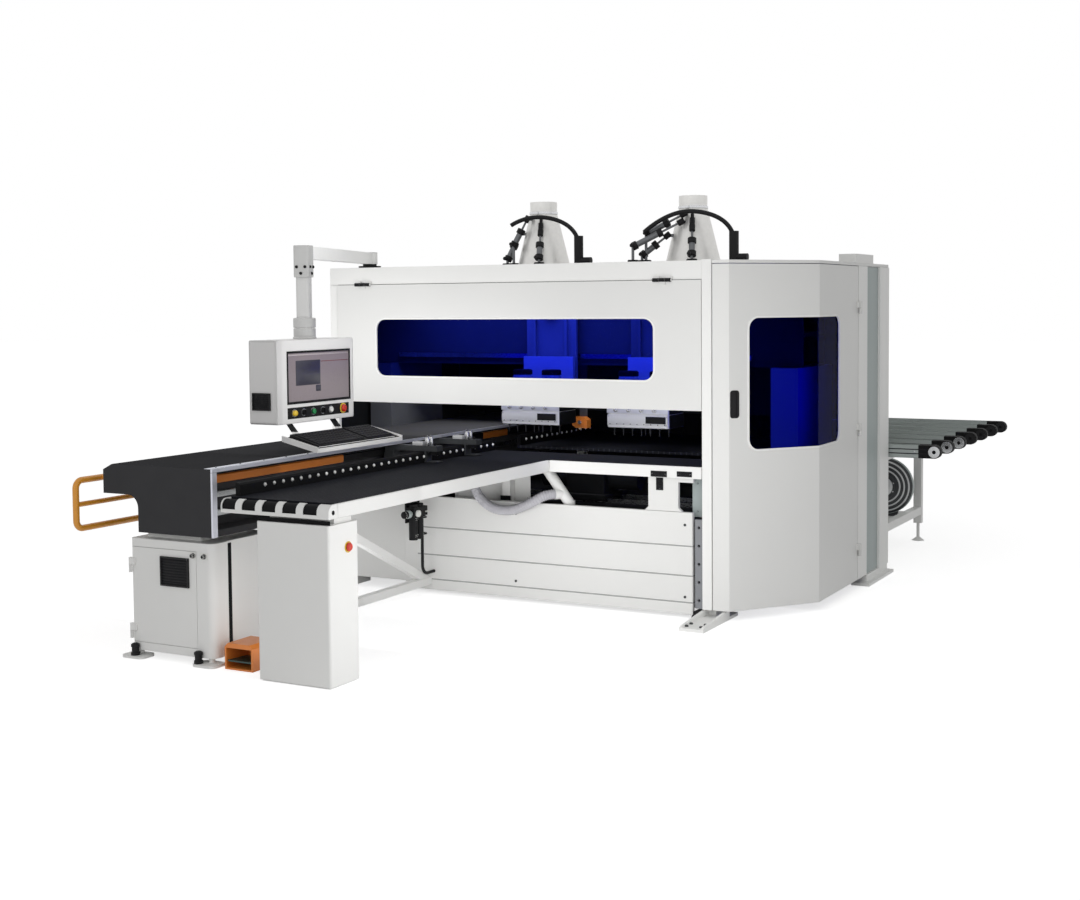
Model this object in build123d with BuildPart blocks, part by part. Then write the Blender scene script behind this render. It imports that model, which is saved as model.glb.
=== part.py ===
from build123d import *
import math
import os

# CNC drilling machine for furniture panels, in millimetres.
# The plan is laid out from the enclosure's left front corner: x to the right along the front,
# y back along the feed, z up from the floor. The origin lies under the middle of the whole box.

os.makedirs("parts", exist_ok=True)

# Enclosure
front_width = 2640
enclosure_height = 2150
enclosure_depth = 2070
table_height = 918
enclosure_lift = 62
sheet = 25
roof_thickness = 20
cover_sheet = 4
panel_sheet = 6
pan_rim = 12
pan_skin = 9
fascia_height = 112
fascia_front = 5
post_width = 60
post_proud = 5
seam = 2
left_trim = 60
left_chamfer_x = 240
left_chamfer_y = 310

# Front hatch
hatch_height = 781
hatch_gap = 3
hatch_front = -8
hatch_thickness = 30
hatch_window_width = 2017
hatch_window_height = 384
hatch_window_lift = 172
hatch_window_shift = 5
window_radius = 70
window_lip = 15
window_depth = 8
glass = 6
glass_gap = 0.5

# End door
door_gap = 5
door_sheet = 18
door_front = 105
door_chamfer_x = 387
door_chamfer_y = 515
door_side = 820
door_window_start = 0.208
door_window_side = 415
door_window_height = 795
door_window_lift = 955
pull_depth = 12
pull_width = 40
pull_height = 150
pull_lift = 1160
pull_start = 12

# Hinges
pin_radius = 5
knuckle_radius = 10
knuckle_length = 40
running_gap = 0.05
knuckle_gap = 1
leaf = 6
door_hinge_lifts = (200, 995, 1795)
hatch_hinge_left = 160
hatch_hinge_right_margin = 190

# Welded portal
base_drop = 318
base_top = table_height - base_drop
base_front = fascia_front + sheet
base_back = 1500
base_shoulder = 560
base_right = front_width + post_width
portal_overhang = 280
portal_clearance = 10
base_left = -20
base_pocket = 400
base_rib = 10
base_skin = 16
column_width = 180
column_front = 760
column_back = 1460
column_wall = 12
crossbeam_drop = 670
crossbeam_height = 420
crossbeam_front = 860
crossbeam_depth = 440
rail_width = 30
rail_height = 25
upper_rail_low = 60
upper_rail_high = 360
slide_gap = 0.3
unit_left = 1322
unit_width = 114
unit_front = 885
unit_depth = 60
unit_lift = 127
unit_bottom = table_height + unit_lift
unit_height = 76
unit_bracket = 12

# Float table
table_skin = 18
table_left = 938
table_right = 1615
edge_height = 71
edge_thickness = 15
cross_table_front = -17
drill_gap_front = 430
drill_gap_back = 790
nose_front = -2342
nose_radius = 40
nose_plate_thickness = 3
nose_roller_radius = 36
nose_shaft_radius = 12
nose_window = 85
nose_pitch = 128
nose_cheek = 6
nose_windows = 5
nose_first = 8
nose_strip = 19
table_tube = 60
left_post_inset = 259
right_post_inset = 310
table_post_x = (table_left + left_post_inset, front_width - right_post_inset)
table_post_y = (120, 1200)

# Leg box under the nose
leg_left = 1165
leg_depth = 250
leg_drop = 24
leg_lift = 8
leg_corner = 14
leg_neck_inset = 25
leg_wall = 5
stop_drop = 124
stop_set_back = 160

# Side fence and feed beam
fence_width = 30
fence_height = 67
beam_front = -2220
beam_back = 1950
beam_left = 14
beam_right = 770
beam_rise = 129
beam_height = 363
beam_top = table_height + beam_rise
beam_bottom = beam_top - beam_height
beam_corner_x = 64
beam_corner_z = 32
beam_notch_drop = 162
beam_notch_z = beam_top - beam_notch_drop
beam_notch_x = 190
beam_foot_x = 262
beam_web = 640
beam_flange = 14
beam_sill = 36
beam_wall = 6
end_plate = 6
edge_frame = 12
edge_frame_height = 18
strip_drop = 97
strip_bottom = beam_top - strip_drop
strip_height = 46
strip_depth = 22
beam_rail_drop = 157
beam_rail_spacing = 100
beam_rail_high = beam_top - beam_rail_drop
beam_rail_low = beam_rail_high - beam_rail_spacing

# Clamps
clamp_y = (-420, 60)
clamp_plate = 22
clamp_half = 110
clamp_arm_half = 35
clamp_arm_height = 34
clamp_reach = 1062
clamp_finger = 6
clamp_float = 3
jaw_rod_radius = 8
jaw_stroke = 30

# Beam stand
stand_x = 700
stand_tube = 50
stand_floor_bottom = 60
stand_rear_foot = -80
stand_rear_top = -1238
stand_front_foot = -1640
stand_front_top = -1440

# Control cabinet
control_left = 204
control_right = 778
control_front = -2222
control_depth = 520
control_bottom = 40
control_gap = 33
control_top = beam_bottom - control_gap
control_wall = 14
control_corner = 22
control_pillar = 119
control_step = 10
control_door_right = 664
control_door_inset = 45
control_door_thickness = 20
control_grille_left = 424
control_grille_width = 184
control_grille_drop = 238
control_grille_bottom = control_top - control_grille_drop
control_grille_height = 147

# Guard rail
rail_x = -100
guard_tube_radius = 18
guard_front = -2330
guard_length = 640
guard_drop = 92
guard_height = 265
guard_top = beam_top - guard_drop
guard_bottom = guard_top - guard_height
guard_bend = 45

# Swing arm and console
arm_base_x = 200
arm_base_y = 100
arm_joint_x = 590
arm_joint_y = -1150
arm_flange_radius = 75
arm_post_radius = 46
arm_post_height = 25
arm_pin_radius = 22
arm_height = 75
arm_width = 64
arm_hub_radius = 52
corner_block = 93
corner_drop = 105
drop_width = 82
drop_depth = 70
collar_height = 125
collar_radius = 62
collar_step = 5
pivot_gap = 0.4
console_face = 690
console_depth = 195
console_width = 742
console_shift = -28
console_rise = 787
console_top = table_height + console_rise
console_height = 480
console_wall = 4
console_front_wall = 10
console_corner = 12
screen_width = 617
screen_height = 305
screen_lift = 110
screen_pocket = 6
screen_thickness = 4
button_lift = 59
button_boss = 15
button_bore = 10
button_depth = 30
selector_offsets = (-124, 60)
green_offset = -33
stop_offset = 261
button_travel = 4
stop_travel = 5
stop_cap_radius = 22
tray_gap = 15
tray_depth = 247
tray_drop = 73
tray_fall = 56
tray_thickness = 20
tray_overhang = 60
tray_lip = 12
keyboard_thickness = 22
keyboard_inset = 24
strut_radius = 10
strut_spacing = 420
fan_left = 22
fan_width = 128
fan_lift = 81
fan_height = 100
fan_slots = 5

# Foot pedal
pedal_left = 850
pedal_width = 184
pedal_front = -2229
pedal_length = 190
pedal_height = 140
pedal_wall = 10
pedal_plate = 8
pedal_gap = 6
pedal_pin_radius = 5
pedal_pin_height = 34

# Dust hoods on the roof
hood_x = (1265, 2340)
hood_y = 600
hood_base_radius = 175
hood_spigot_radius = 90
hood_cone_height = 350
spigot_length = 75
hood_flange = 25
hood_wall = 5
gate_barrel_radius = 19
gate_barrel_share = 0.6
gate_rod_radius = 7
gate_post_radius = 9
gate_heads = ((245, 208, 290), (267, 262, 219, 290))
gate_feet = ((225, 212, 290), (215, 222, 212, 290))
gate_rises = ((0.89, 0.62, 0.62), (0.87, 0.73, 0.5, 0.62))
gate_reaches = ((211, 245, 238), (305, 402, 328, 238))
gate_lifts = ((134, 40, 40), (183, 104, 48, 40))
conduit_radius = 14
conduit_points = (
    (-240, -225, 195),
    (-130, -215, 268),
    (-10, -195, 312),
    (150, -170, 305),
    (270, -145, 245),
    (320, -120, 150),
)
sleeve_radius = 30
sleeve_height = 190

# Drilling heads
head_x = (1215, 2003)
head_half = 220
head_rise = 177
head_bottom = table_height + head_rise
head_height = 145
head_depth = 270
head_plate = 26
carriage_half = 190
carriage_plate = 22
carriage_rise = 205
carriage_bottom = head_bottom + carriage_rise
bearing_length = 80
bearing_height = 80
bearing_spacing = 220
z_rail_width = 20
z_rail_offset = 120
spindle_pitch = 64
spindle_row = 7
spindle_stem = 2
spindle_nose = 12
head_groove = 4
spindle_radius = 10
spindle_length = 70
bit_radius = 4
bit_length = 60
bit_tip = 6
motor_radius = 62
motor_height = 210
servo_size = 90
lower_head_x = 1610
lower_half = 170
lower_block_half = 140
lower_block_height = 160
lower_plate = 25
lower_rail_y = (500, 730)
lower_spindles = 5

# Outfeed
belt_count = 7
outfeed_clearance = 60
belt_first = enclosure_depth + outfeed_clearance
belt_pitch = 380
belt_left = 914
belt_right = 3560
belt_width = 50
belt_thickness = 4
belt_gap = 0.3
pulley_radius = 42
cheek = 9
cheek_radius = 44
belt_drop = 68
belt_height = table_height - belt_drop
outfeed_tube = 60
outfeed_rail_x = (1030, 2450, 3048)
outfeed_leg_x = 3048
outfeed_leg_reach = 1411
outfeed_leg_y = belt_first + outfeed_leg_reach
inner_leg_reaches = (110, 2070)
outfeed_lower_tube = 240
foot_pad_radius = 50
foot_pad = 14
foot_stem_radius = 12
foot_stem = 140
blower_radius = 215
blower_reach = 1120
blower_y = belt_first + blower_reach
blower_x = 2865
blower_depth = 150

# Floor feet
foot_plate = 20
foot_width = 153
foot_reach = 355
foot_under = 180
foot_web = 20

# Hose and air unit
hose_radius = 32
hose_port_x = 1080
hose_y = -60
hose_spigot = 27
duct_radius = 34
duct_y = 75
duct_inset = 44
duct_run = 158
duct_foot = 40
duct_port_lift = 100
duct_port_reach = 62
duct_port_turn = 50
air_bowl_radius = 28
air_hose_radius = 10

# Middle of the whole box
left_reach = -left_trim - left_chamfer_x
back_reach = belt_first + (belt_count - 1) * belt_pitch + belt_width / 2 + cheek
middle_x = (left_reach + belt_right) / 2
middle_y = (nose_front + back_reach) / 2
datum = Plane(origin=(-middle_x, -middle_y, 0))


def level(height):
    """Horizontal plane at a height, in plan coordinates."""
    return datum.offset(height)


def facing_front(y):
    """Upright plane across the machine; its sketch is x and z, and it faces the operator."""
    return Plane(origin=(-middle_x, y - middle_y, 0), x_dir=(1, 0, 0), z_dir=(0, -1, 0))


def facing_right(x):
    """Upright plane along the feed; its sketch is y and z, and it faces right."""
    return Plane(origin=(x - middle_x, -middle_y, 0), x_dir=(0, 1, 0), z_dir=(1, 0, 0))


def block(x, y, z, mode=Mode.ADD):
    """Block between pairs of plan coordinates, in the current sub-part."""
    with Locations(((x[0] + x[1]) / 2, (y[0] + y[1]) / 2, (z[0] + z[1]) / 2)):
        Box(x[1] - x[0], y[1] - y[0], z[1] - z[0], mode=mode)


def rod(start, end, radius, mode=Mode.ADD):
    """Round bar between two plan points, in the current sub-part."""
    first = Vector(*start)
    run = Vector(*end) - first
    with Locations(Plane(origin=first, z_dir=run).location):
        Cylinder(radius, run.length, align=(Align.CENTER, Align.CENTER, Align.MIN), mode=mode)


def set_in(path, distance):
    """Copy of an open plan path, moved to its left by a distance with mitred corners."""
    moved = []
    for place, point in enumerate(path):
        sides = []
        for start, end in ((place - 1, place), (place, place + 1)):
            if start >= 0 and end < len(path):
                run = Vector(*path[end]) - Vector(*path[start])
                sides.append(Vector(-run.Y, run.X).normalized())
        normal = sides[0] if len(sides) == 1 else (sides[0] + sides[1]) / (1 + sides[0].dot(sides[1]))
        moved.append((point[0] + normal.X * distance, point[1] + normal.Y * distance))
    return moved


def bent_outline(path, depth, thickness):
    """Closed outline of a bent sheet that starts at a depth to the left of its path."""
    return [*set_in(path, depth), *reversed(set_in(path, depth + thickness))]


def cut_away(part):
    """Cut a finished solid, which already stands in its place, from the current sub-part."""
    with Locations((middle_x, middle_y)):
        add(part, mode=Mode.SUBTRACT)


def write_node(builder, node):
    """Label a finished piece and write its file."""
    builder.part.label = node
    export_step(builder.part, f"parts/{node}.step")


# Places worked out from the sizes above
roof_bottom = enclosure_height - roof_thickness
roof_front = fascia_front + sheet
fascia_bottom = enclosure_height - fascia_height
hatch_top = fascia_bottom - hatch_gap
hatch_bottom = hatch_top - hatch_height
post_left = front_width
post_right = front_width + post_width
door_start = post_right + door_gap
door_fold_x = door_start + door_front
end_x = door_fold_x + door_chamfer_x
door_end = door_chamfer_y + door_side
rear_post_front = door_end + 2 * door_gap
portal_left = left_reach + sheet + portal_clearance
crossbeam_bottom = enclosure_height - crossbeam_drop
portal_right = base_right + portal_overhang
table_bottom = table_height - table_skin
edge_bottom = table_height - edge_height
leg_right = table_right
nose_axis_y = nose_front + nose_radius
nose_axis_z = table_height - nose_radius
nose_back = nose_axis_y + nose_radius
rail_face = crossbeam_front - rail_height
carriage_front = rail_face - carriage_plate - bearing_length / 4
beam_stub_top = beam_top - beam_flange
hatch_axis_y = hatch_front - knuckle_radius - glass_gap
hatch_axis_z = hatch_top + hatch_gap / 2
door_axis_x = end_x + knuckle_radius + leaf
door_axis_y = door_end + door_gap
control_axis_x = control_left + control_wall / 2
control_axis_y = control_front - knuckle_radius
control_back = control_front + control_depth
console_middle = arm_joint_y + console_shift
console_back = console_face - console_depth
console_bottom = console_top - console_height
console_side = console_middle - console_width / 2
collar_top = console_top + collar_height
screen_bottom = console_bottom + screen_lift
button_height = console_bottom + button_lift
tray_back = console_face + tray_gap
tray_front = tray_back + tray_depth
tray_back_height = console_bottom - tray_drop
tray_front_height = tray_back_height - tray_fall
bar_half = belt_width / 2 + cheek
outfeed_rail_top = belt_height - cheek_radius - 2 * belt_thickness
outfeed_rail_bottom = outfeed_rail_top - outfeed_tube

# Base weldment with a ribbed underside
with BuildPart(datum) as base_frame:
    with BuildSketch(level(enclosure_lift)):
        with BuildLine():
            Polyline(
                (base_left, base_front),
                (base_right, base_front),
                (base_right, base_shoulder),
                (portal_right, base_shoulder),
                (portal_right, base_back),
                (portal_left, base_back),
                (portal_left, base_shoulder),
                (base_left, base_shoulder),
                close=True,
            )
        make_face()
    extrude(amount=base_top - enclosure_lift)
    base_cells = (
        ((base_left, base_right), (base_front, base_back)),
        ((portal_left, base_left), (base_shoulder, base_back)),
        ((base_right, portal_right), (base_shoulder, base_back)),
    )
    for cell_x, cell_y in base_cells:
        columns = max(1, round((cell_x[1] - cell_x[0]) / base_pocket))
        rows = max(1, round((cell_y[1] - cell_y[0]) / base_pocket))
        step_x = (cell_x[1] - cell_x[0] - base_rib) / columns
        step_y = (cell_y[1] - cell_y[0] - base_rib) / rows
        with BuildSketch(level(enclosure_lift)):
            with Locations((sum(cell_x) / 2, sum(cell_y) / 2)):
                with GridLocations(step_x, step_y, columns, rows):
                    Rectangle(step_x - base_rib, step_y - base_rib)
        extrude(amount=base_top - enclosure_lift - base_skin, mode=Mode.SUBTRACT)
write_node(base_frame, "base_frame")

# Portal columns at both ends, and the drilled upright beside the front panel
upright_left = front_width - 55
upright_holes = 5
upright_hole_radius = 9
upright_hole_pitch = 110
with BuildPart(datum) as portal_columns:
    for column_left in (portal_left, portal_right - column_width):
        with BuildSketch(level(base_top)):
            with Locations((column_left + column_width / 2, (column_front + column_back) / 2)):
                Rectangle(column_width, column_back - column_front)
                Rectangle(
                    column_width - 2 * column_wall,
                    column_back - column_front - 2 * column_wall,
                    mode=Mode.SUBTRACT,
                )
        extrude(amount=crossbeam_bottom - base_top)
    with BuildSketch(facing_front(base_front)):
        with Locations((front_width - 28, enclosure_lift + (base_top - enclosure_lift) / 2)):
            Rectangle(50, base_top - enclosure_lift)
            with GridLocations(1, upright_hole_pitch, 1, upright_holes):
                Circle(upright_hole_radius, mode=Mode.SUBTRACT)
    extrude(amount=sheet - post_proud)
write_node(portal_columns, "portal_columns")

# Crossbeam with two hollow cells
with BuildPart(datum) as crossbeam:
    with BuildSketch(facing_right(portal_left)):
        with Locations((crossbeam_front + crossbeam_depth / 2, crossbeam_bottom + crossbeam_height / 2)):
            Rectangle(crossbeam_depth, crossbeam_height)
            with GridLocations(1, crossbeam_height / 2, 1, 2):
                Rectangle(
                    crossbeam_depth - 2 * column_wall,
                    crossbeam_height / 2 - 2 * column_wall,
                    mode=Mode.SUBTRACT,
                )
    extrude(amount=portal_right - portal_left)
    block(
        (unit_left + unit_width / 4, unit_left + unit_width * 3 / 4),
        (unit_front + unit_depth, unit_front + unit_depth + unit_bracket),
        (unit_bottom + unit_bracket, crossbeam_bottom),
    )
write_node(crossbeam, "crossbeam")

# Linear rails on the crossbeam, the base and the feed beam
upper_rail_z = (crossbeam_bottom + upper_rail_low, crossbeam_bottom + upper_rail_high)
lower_rail_left = beam_right + 60
with BuildPart(datum) as linear_rails:
    for height in upper_rail_z:
        block(
            (-left_trim, front_width),
            (rail_face, crossbeam_front),
            (height - rail_width / 2, height + rail_width / 2),
        )
    for along in lower_rail_y:
        block(
            (lower_rail_left, front_width),
            (along - rail_width / 2, along + rail_width / 2),
            (base_top, base_top + rail_height),
        )
    for height in (beam_rail_low, beam_rail_high):
        block(
            (beam_web, beam_web + rail_height),
            (beam_front + end_plate, beam_back),
            (height - rail_width / 2, height + rail_width / 2),
        )
write_node(linear_rails, "linear_rails")

# Roof plate over the whole enclosure
with BuildPart(datum) as roof_cover:
    with BuildSketch(level(roof_bottom)):
        with BuildLine():
            Polyline(
                (-left_trim, roof_front),
                (post_right + seam, roof_front),
                (post_right + seam, 0),
                (door_fold_x, 0),
                (end_x, door_chamfer_y),
                (end_x, enclosure_depth),
                (left_reach, enclosure_depth),
                (left_reach, roof_front + left_chamfer_y),
                close=True,
            )
        make_face()
    extrude(amount=roof_thickness)
    offset(amount=-cover_sheet, openings=roof_cover.faces().sort_by(Axis.Z)[0])
    with BuildSketch(level(roof_bottom)):
        for hood in hood_x:
            with Locations((hood, hood_y)):
                Circle(hood_base_radius - hood_flange)
    extrude(amount=roof_thickness, mode=Mode.SUBTRACT)
write_node(roof_cover, "roof_cover")

# Front frame: fascia, right post, left trim and rear corner post
stripe_front = rear_post_front + 208
stripe_back = stripe_front + 269
stripe_depth = 6
edge_bead = 12
edge_bead_width = 30
rear_post_depth = 57
roof_box_inset = 18
roof_box_width = 118
roof_box_length = 400
roof_box_height = 60
with BuildPart(datum) as front_frame:
    with BuildSketch(facing_front(roof_front)):
        with BuildLine():
            Polyline(
                (-left_trim, fascia_bottom),
                (post_left - seam, fascia_bottom),
                (post_left - seam, enclosure_height),
                (-left_trim, enclosure_height),
                close=True,
            )
        make_face()
    extrude(amount=sheet)
    block((post_left, post_right), (-post_proud, roof_front), (enclosure_lift, enclosure_height + post_proud))
    block((-left_trim, -seam), (fascia_front, roof_front), (enclosure_lift, fascia_bottom - seam))
    rear_post_path = [
        (end_x - rear_post_depth, rear_post_front),
        (end_x, rear_post_front),
        (end_x, stripe_front),
        (end_x - stripe_depth, stripe_front),
        (end_x - stripe_depth, stripe_back),
        (end_x + edge_bead, stripe_back),
        (end_x + edge_bead, stripe_back + edge_bead_width),
        (end_x + stripe_depth, stripe_back + edge_bead_width),
        (end_x + stripe_depth, enclosure_depth),
        (end_x - rear_post_depth, enclosure_depth),
    ]
    with BuildSketch(level(enclosure_lift)):
        with BuildLine():
            Polyline(*bent_outline(rear_post_path, 0, cover_sheet), close=True)
        make_face()
    extrude(amount=roof_bottom - enclosure_lift)
    block(
        (end_x - roof_box_inset - roof_box_width, end_x - roof_box_inset),
        (stripe_front - roof_box_length / 2, stripe_front + roof_box_length / 2),
        (enclosure_height, enclosure_height + roof_box_height),
    )
write_node(front_frame, "front_frame")

# Left end cover and rear panels round the way out
exit_drop = 60
exit_rise = 142
exit_bottom = table_height - exit_drop
exit_top = table_height + exit_rise
exit_left = beam_left - 60
exit_right = post_right
rear_inner = end_x - rear_post_depth - seam
with BuildPart(datum) as enclosure_panels:
    left_path = [
        (left_reach, enclosure_depth - panel_sheet - seam),
        (left_reach, roof_front + left_chamfer_y),
        (-left_trim, roof_front + seam),
    ]
    with BuildSketch(level(enclosure_lift)):
        with BuildLine():
            Polyline(*bent_outline(left_path, 0, panel_sheet), close=True)
        make_face()
    extrude(amount=roof_bottom - enclosure_lift)
    rear_span = (enclosure_depth - panel_sheet, enclosure_depth)
    block((left_reach, rear_inner), rear_span, (exit_top, roof_bottom))
    block((left_reach, rear_inner), rear_span, (enclosure_lift, exit_bottom))
    block((left_reach, exit_left), rear_span, (exit_bottom + seam, exit_top - seam))
    block((exit_right, rear_inner), rear_span, (exit_bottom + seam, exit_top - seam))
write_node(enclosure_panels, "enclosure_panels")

# Lower front panels: folded main panel, side strip and valve bracket
panel_left = 617
panel_right = front_width - 65
panel_overlap = 40
panel_top = base_top + panel_overlap
panel_bottom = 24
fold_heights = (95, 257, 437)
fold_depth = 5
fold_half = 5
strip_left = 517
bracket_inset = 60
bracket_width = 295
bracket_step = 98
bracket_lip = 27
bracket_right = front_width - bracket_inset
bracket_left = bracket_right - bracket_width
bracket_mid = bracket_right - bracket_step
bracket_shelf = edge_bottom - bracket_lip
bracket_foot = 24
with BuildPart(datum) as lower_front_panels:
    with BuildSketch(facing_right(panel_left)):
        with Locations((base_front / 2, (panel_bottom + panel_top) / 2)):
            Rectangle(base_front, panel_top - panel_bottom)
        for fold in fold_heights:
            with BuildLine():
                Polyline((0, fold - fold_half), (fold_depth, fold), (0, fold + fold_half), close=True)
            make_face(mode=Mode.SUBTRACT)
    extrude(amount=panel_right - panel_left)
    block(
        (panel_left + pan_rim, panel_right - pan_rim),
        (pan_skin, base_front),
        (panel_bottom + pan_rim, panel_top - pan_rim),
        mode=Mode.SUBTRACT,
    )
    block((strip_left, panel_left - seam), (fascia_front, base_front), (enclosure_lift, base_top))
    with BuildSketch(facing_front(base_front)):
        with BuildLine():
            Polyline(
                (bracket_left - bracket_foot, panel_top + seam),
                (bracket_mid + bracket_foot, panel_top + seam),
                (bracket_mid, panel_top + bracket_foot),
                (bracket_mid, bracket_shelf),
                (bracket_right, bracket_shelf),
                (bracket_right, edge_bottom),
                (bracket_left, edge_bottom),
                (bracket_left, panel_top + bracket_foot),
                close=True,
            )
        make_face()
    extrude(amount=sheet)
write_node(lower_front_panels, "lower_front_panels")

# Front hatch with a rebated window opening and its middle hinge knuckles
hatch_window_x = front_width / 2 + hatch_window_shift
hatch_window_z = hatch_bottom + hatch_window_lift + hatch_window_height / 2
hatch_hinges = (hatch_hinge_left, front_width - hatch_hinge_right_margin - 3 * knuckle_length)
hatch_back = hatch_front + hatch_thickness
with BuildPart(datum) as hatch_panel:
    with BuildSketch(facing_front(hatch_back)):
        with Locations((front_width / 2, hatch_bottom + hatch_height / 2)):
            Rectangle(front_width - 2 * hatch_gap, hatch_height)
        with Locations((hatch_window_x, hatch_window_z)):
            RectangleRounded(hatch_window_width, hatch_window_height, window_radius, mode=Mode.SUBTRACT)
    extrude(amount=hatch_thickness)
    with BuildSketch(facing_front(hatch_back)):
        with Locations((hatch_window_x, hatch_window_z)):
            RectangleRounded(
                hatch_window_width + 2 * window_lip,
                hatch_window_height + 2 * window_lip,
                window_radius + window_lip,
            )
    extrude(amount=hatch_thickness - window_depth, mode=Mode.SUBTRACT)
    frame_left = hatch_window_x - hatch_window_width / 2 - window_lip - pan_rim
    frame_right = hatch_window_x + hatch_window_width / 2 + window_lip + pan_rim
    frame_bottom = hatch_window_z - hatch_window_height / 2 - window_lip - pan_rim
    frame_top = hatch_window_z + hatch_window_height / 2 + window_lip + pan_rim
    hollow_x = (hatch_gap + pan_rim, front_width - hatch_gap - pan_rim)
    hollow_y = (hatch_front + cover_sheet, hatch_back)
    hollow_z = (hatch_bottom + pan_rim, hatch_top - pan_rim)
    block((hollow_x[0], frame_left), hollow_y, hollow_z, mode=Mode.SUBTRACT)
    block((frame_right, hollow_x[1]), hollow_y, hollow_z, mode=Mode.SUBTRACT)
    middle_span = (frame_left + pan_rim, frame_right - pan_rim)
    block(middle_span, hollow_y, (hollow_z[0], frame_bottom), mode=Mode.SUBTRACT)
    block(middle_span, hollow_y, (frame_top, hollow_z[1]), mode=Mode.SUBTRACT)
    for hinge in hatch_hinges:
        knuckle_start = hinge + knuckle_length + knuckle_gap
        knuckle_end = hinge + 2 * knuckle_length - knuckle_gap
        block(
            (knuckle_start, knuckle_end),
            (hatch_front - leaf, hatch_front),
            (hatch_axis_z - 3 * knuckle_radius, hatch_top),
        )
        rod(
            (knuckle_start, hatch_axis_y, hatch_axis_z),
            (knuckle_end, hatch_axis_y, hatch_axis_z),
            knuckle_radius,
        )
        rod(
            (knuckle_start, hatch_axis_y, hatch_axis_z),
            (knuckle_end, hatch_axis_y, hatch_axis_z),
            pin_radius + running_gap,
            mode=Mode.SUBTRACT,
        )
write_node(hatch_panel, "hatch_panel")

with BuildPart(datum) as hatch_window:
    with BuildSketch(facing_front(hatch_front + window_depth + glass)):
        with Locations((hatch_window_x, hatch_window_z)):
            RectangleRounded(
                hatch_window_width + 2 * window_lip - 2 * glass_gap,
                hatch_window_height + 2 * window_lip - 2 * glass_gap,
                window_radius + window_lip,
            )
    extrude(amount=glass)
write_node(hatch_window, "hatch_window")

# End door: one sheet folded twice, with a window bent round the second fold
door_bottom = enclosure_lift
door_height = roof_bottom - hatch_gap - door_bottom
door_path = [(door_start, 0), (door_fold_x, 0), (end_x, door_chamfer_y), (end_x, door_end)]
window_start = (
    door_fold_x + door_chamfer_x * door_window_start,
    door_chamfer_y * door_window_start,
)
chamfer_run = Vector(door_chamfer_x, door_chamfer_y)
chamfer_unit = chamfer_run.normalized()


def door_window_path(grow):
    """Path of the bent window along the door's outside, lengthened at both ends."""
    return [
        (window_start[0] - chamfer_unit.X * grow, window_start[1] - chamfer_unit.Y * grow),
        (end_x, door_chamfer_y),
        (end_x, door_chamfer_y + door_window_side + grow),
    ]


def door_window_ends(part, thickness):
    """Short edges across the ends of a bent pane, where its corners are rounded."""
    return part.edges().filter_by(lambda edge: abs(edge.length - thickness) < 0.01)


with BuildPart(datum) as window_opening:
    through = door_sheet + 2 * window_depth
    with BuildSketch(level(door_bottom + door_window_lift)):
        with BuildLine():
            Polyline(*bent_outline(door_window_path(0), -window_depth, through), close=True)
        make_face()
    extrude(amount=door_window_height)
    fillet(door_window_ends(window_opening.part, through), radius=window_radius)

with BuildPart(datum) as window_rebate:
    rebate = door_sheet
    with BuildSketch(level(door_bottom + door_window_lift - window_lip)):
        with BuildLine():
            Polyline(*bent_outline(door_window_path(window_lip), window_depth, rebate), close=True)
        make_face()
    extrude(amount=door_window_height + 2 * window_lip)
    fillet(door_window_ends(window_rebate.part, rebate), radius=window_radius + window_lip)

pull_plane = Plane(
    origin=(door_fold_x - middle_x, -middle_y, door_bottom + pull_lift),
    x_dir=(chamfer_unit.X, chamfer_unit.Y, 0),
    z_dir=(chamfer_unit.Y, -chamfer_unit.X, 0),
)
with BuildPart(datum) as end_door:
    with BuildSketch(level(door_bottom)):
        with BuildLine():
            Polyline(*bent_outline(door_path, 0, door_sheet), close=True)
        make_face()
    extrude(amount=door_height)
    cut_away(window_opening.part)
    cut_away(window_rebate.part)
    hollow_path = [(door_start + pan_rim, 0), *door_path[1:3], (end_x, door_end - pan_rim)]
    hollow_low = door_bottom + pan_rim
    hollow_high = door_bottom + door_height - pan_rim
    window_low = door_bottom + door_window_lift - window_lip - pan_rim
    window_high = door_bottom + door_window_lift + door_window_height + window_lip + pan_rim
    for low, high in ((hollow_low, window_low), (window_high, hollow_high)):
        with BuildSketch(level(low)):
            with BuildLine():
                Polyline(*bent_outline(hollow_path, cover_sheet, door_sheet), close=True)
            make_face()
        extrude(amount=high - low, mode=Mode.SUBTRACT)
    with BuildSketch(pull_plane):
        with Locations((pull_start + pull_width / 2, pull_height / 2)):
            RectangleRounded(pull_width, pull_height, pull_width / 3)
    extrude(amount=-pull_depth, mode=Mode.SUBTRACT)
    for lift in door_hinge_lifts:
        upper_start = door_bottom + lift + knuckle_gap
        block(
            (end_x, door_axis_x),
            (door_end - 3 * knuckle_radius, door_end),
            (upper_start, upper_start + knuckle_length),
        )
        rod(
            (door_axis_x, door_axis_y, upper_start),
            (door_axis_x, door_axis_y, upper_start + knuckle_length),
            knuckle_radius,
        )
        rod(
            (door_axis_x, door_axis_y, upper_start),
            (door_axis_x, door_axis_y, upper_start + knuckle_length),
            pin_radius + running_gap,
            mode=Mode.SUBTRACT,
        )
write_node(end_door, "end_door")

with BuildPart(datum) as end_door_window:
    with BuildSketch(level(door_bottom + door_window_lift - window_lip + glass_gap)):
        with BuildLine():
            Polyline(*bent_outline(door_window_path(window_lip - glass_gap), window_depth, glass), close=True)
        make_face()
    extrude(amount=door_window_height + 2 * window_lip - 2 * glass_gap)
    fillet(door_window_ends(end_door_window.part, glass), radius=window_radius + window_lip)
write_node(end_door_window, "end_door_window")

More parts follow.
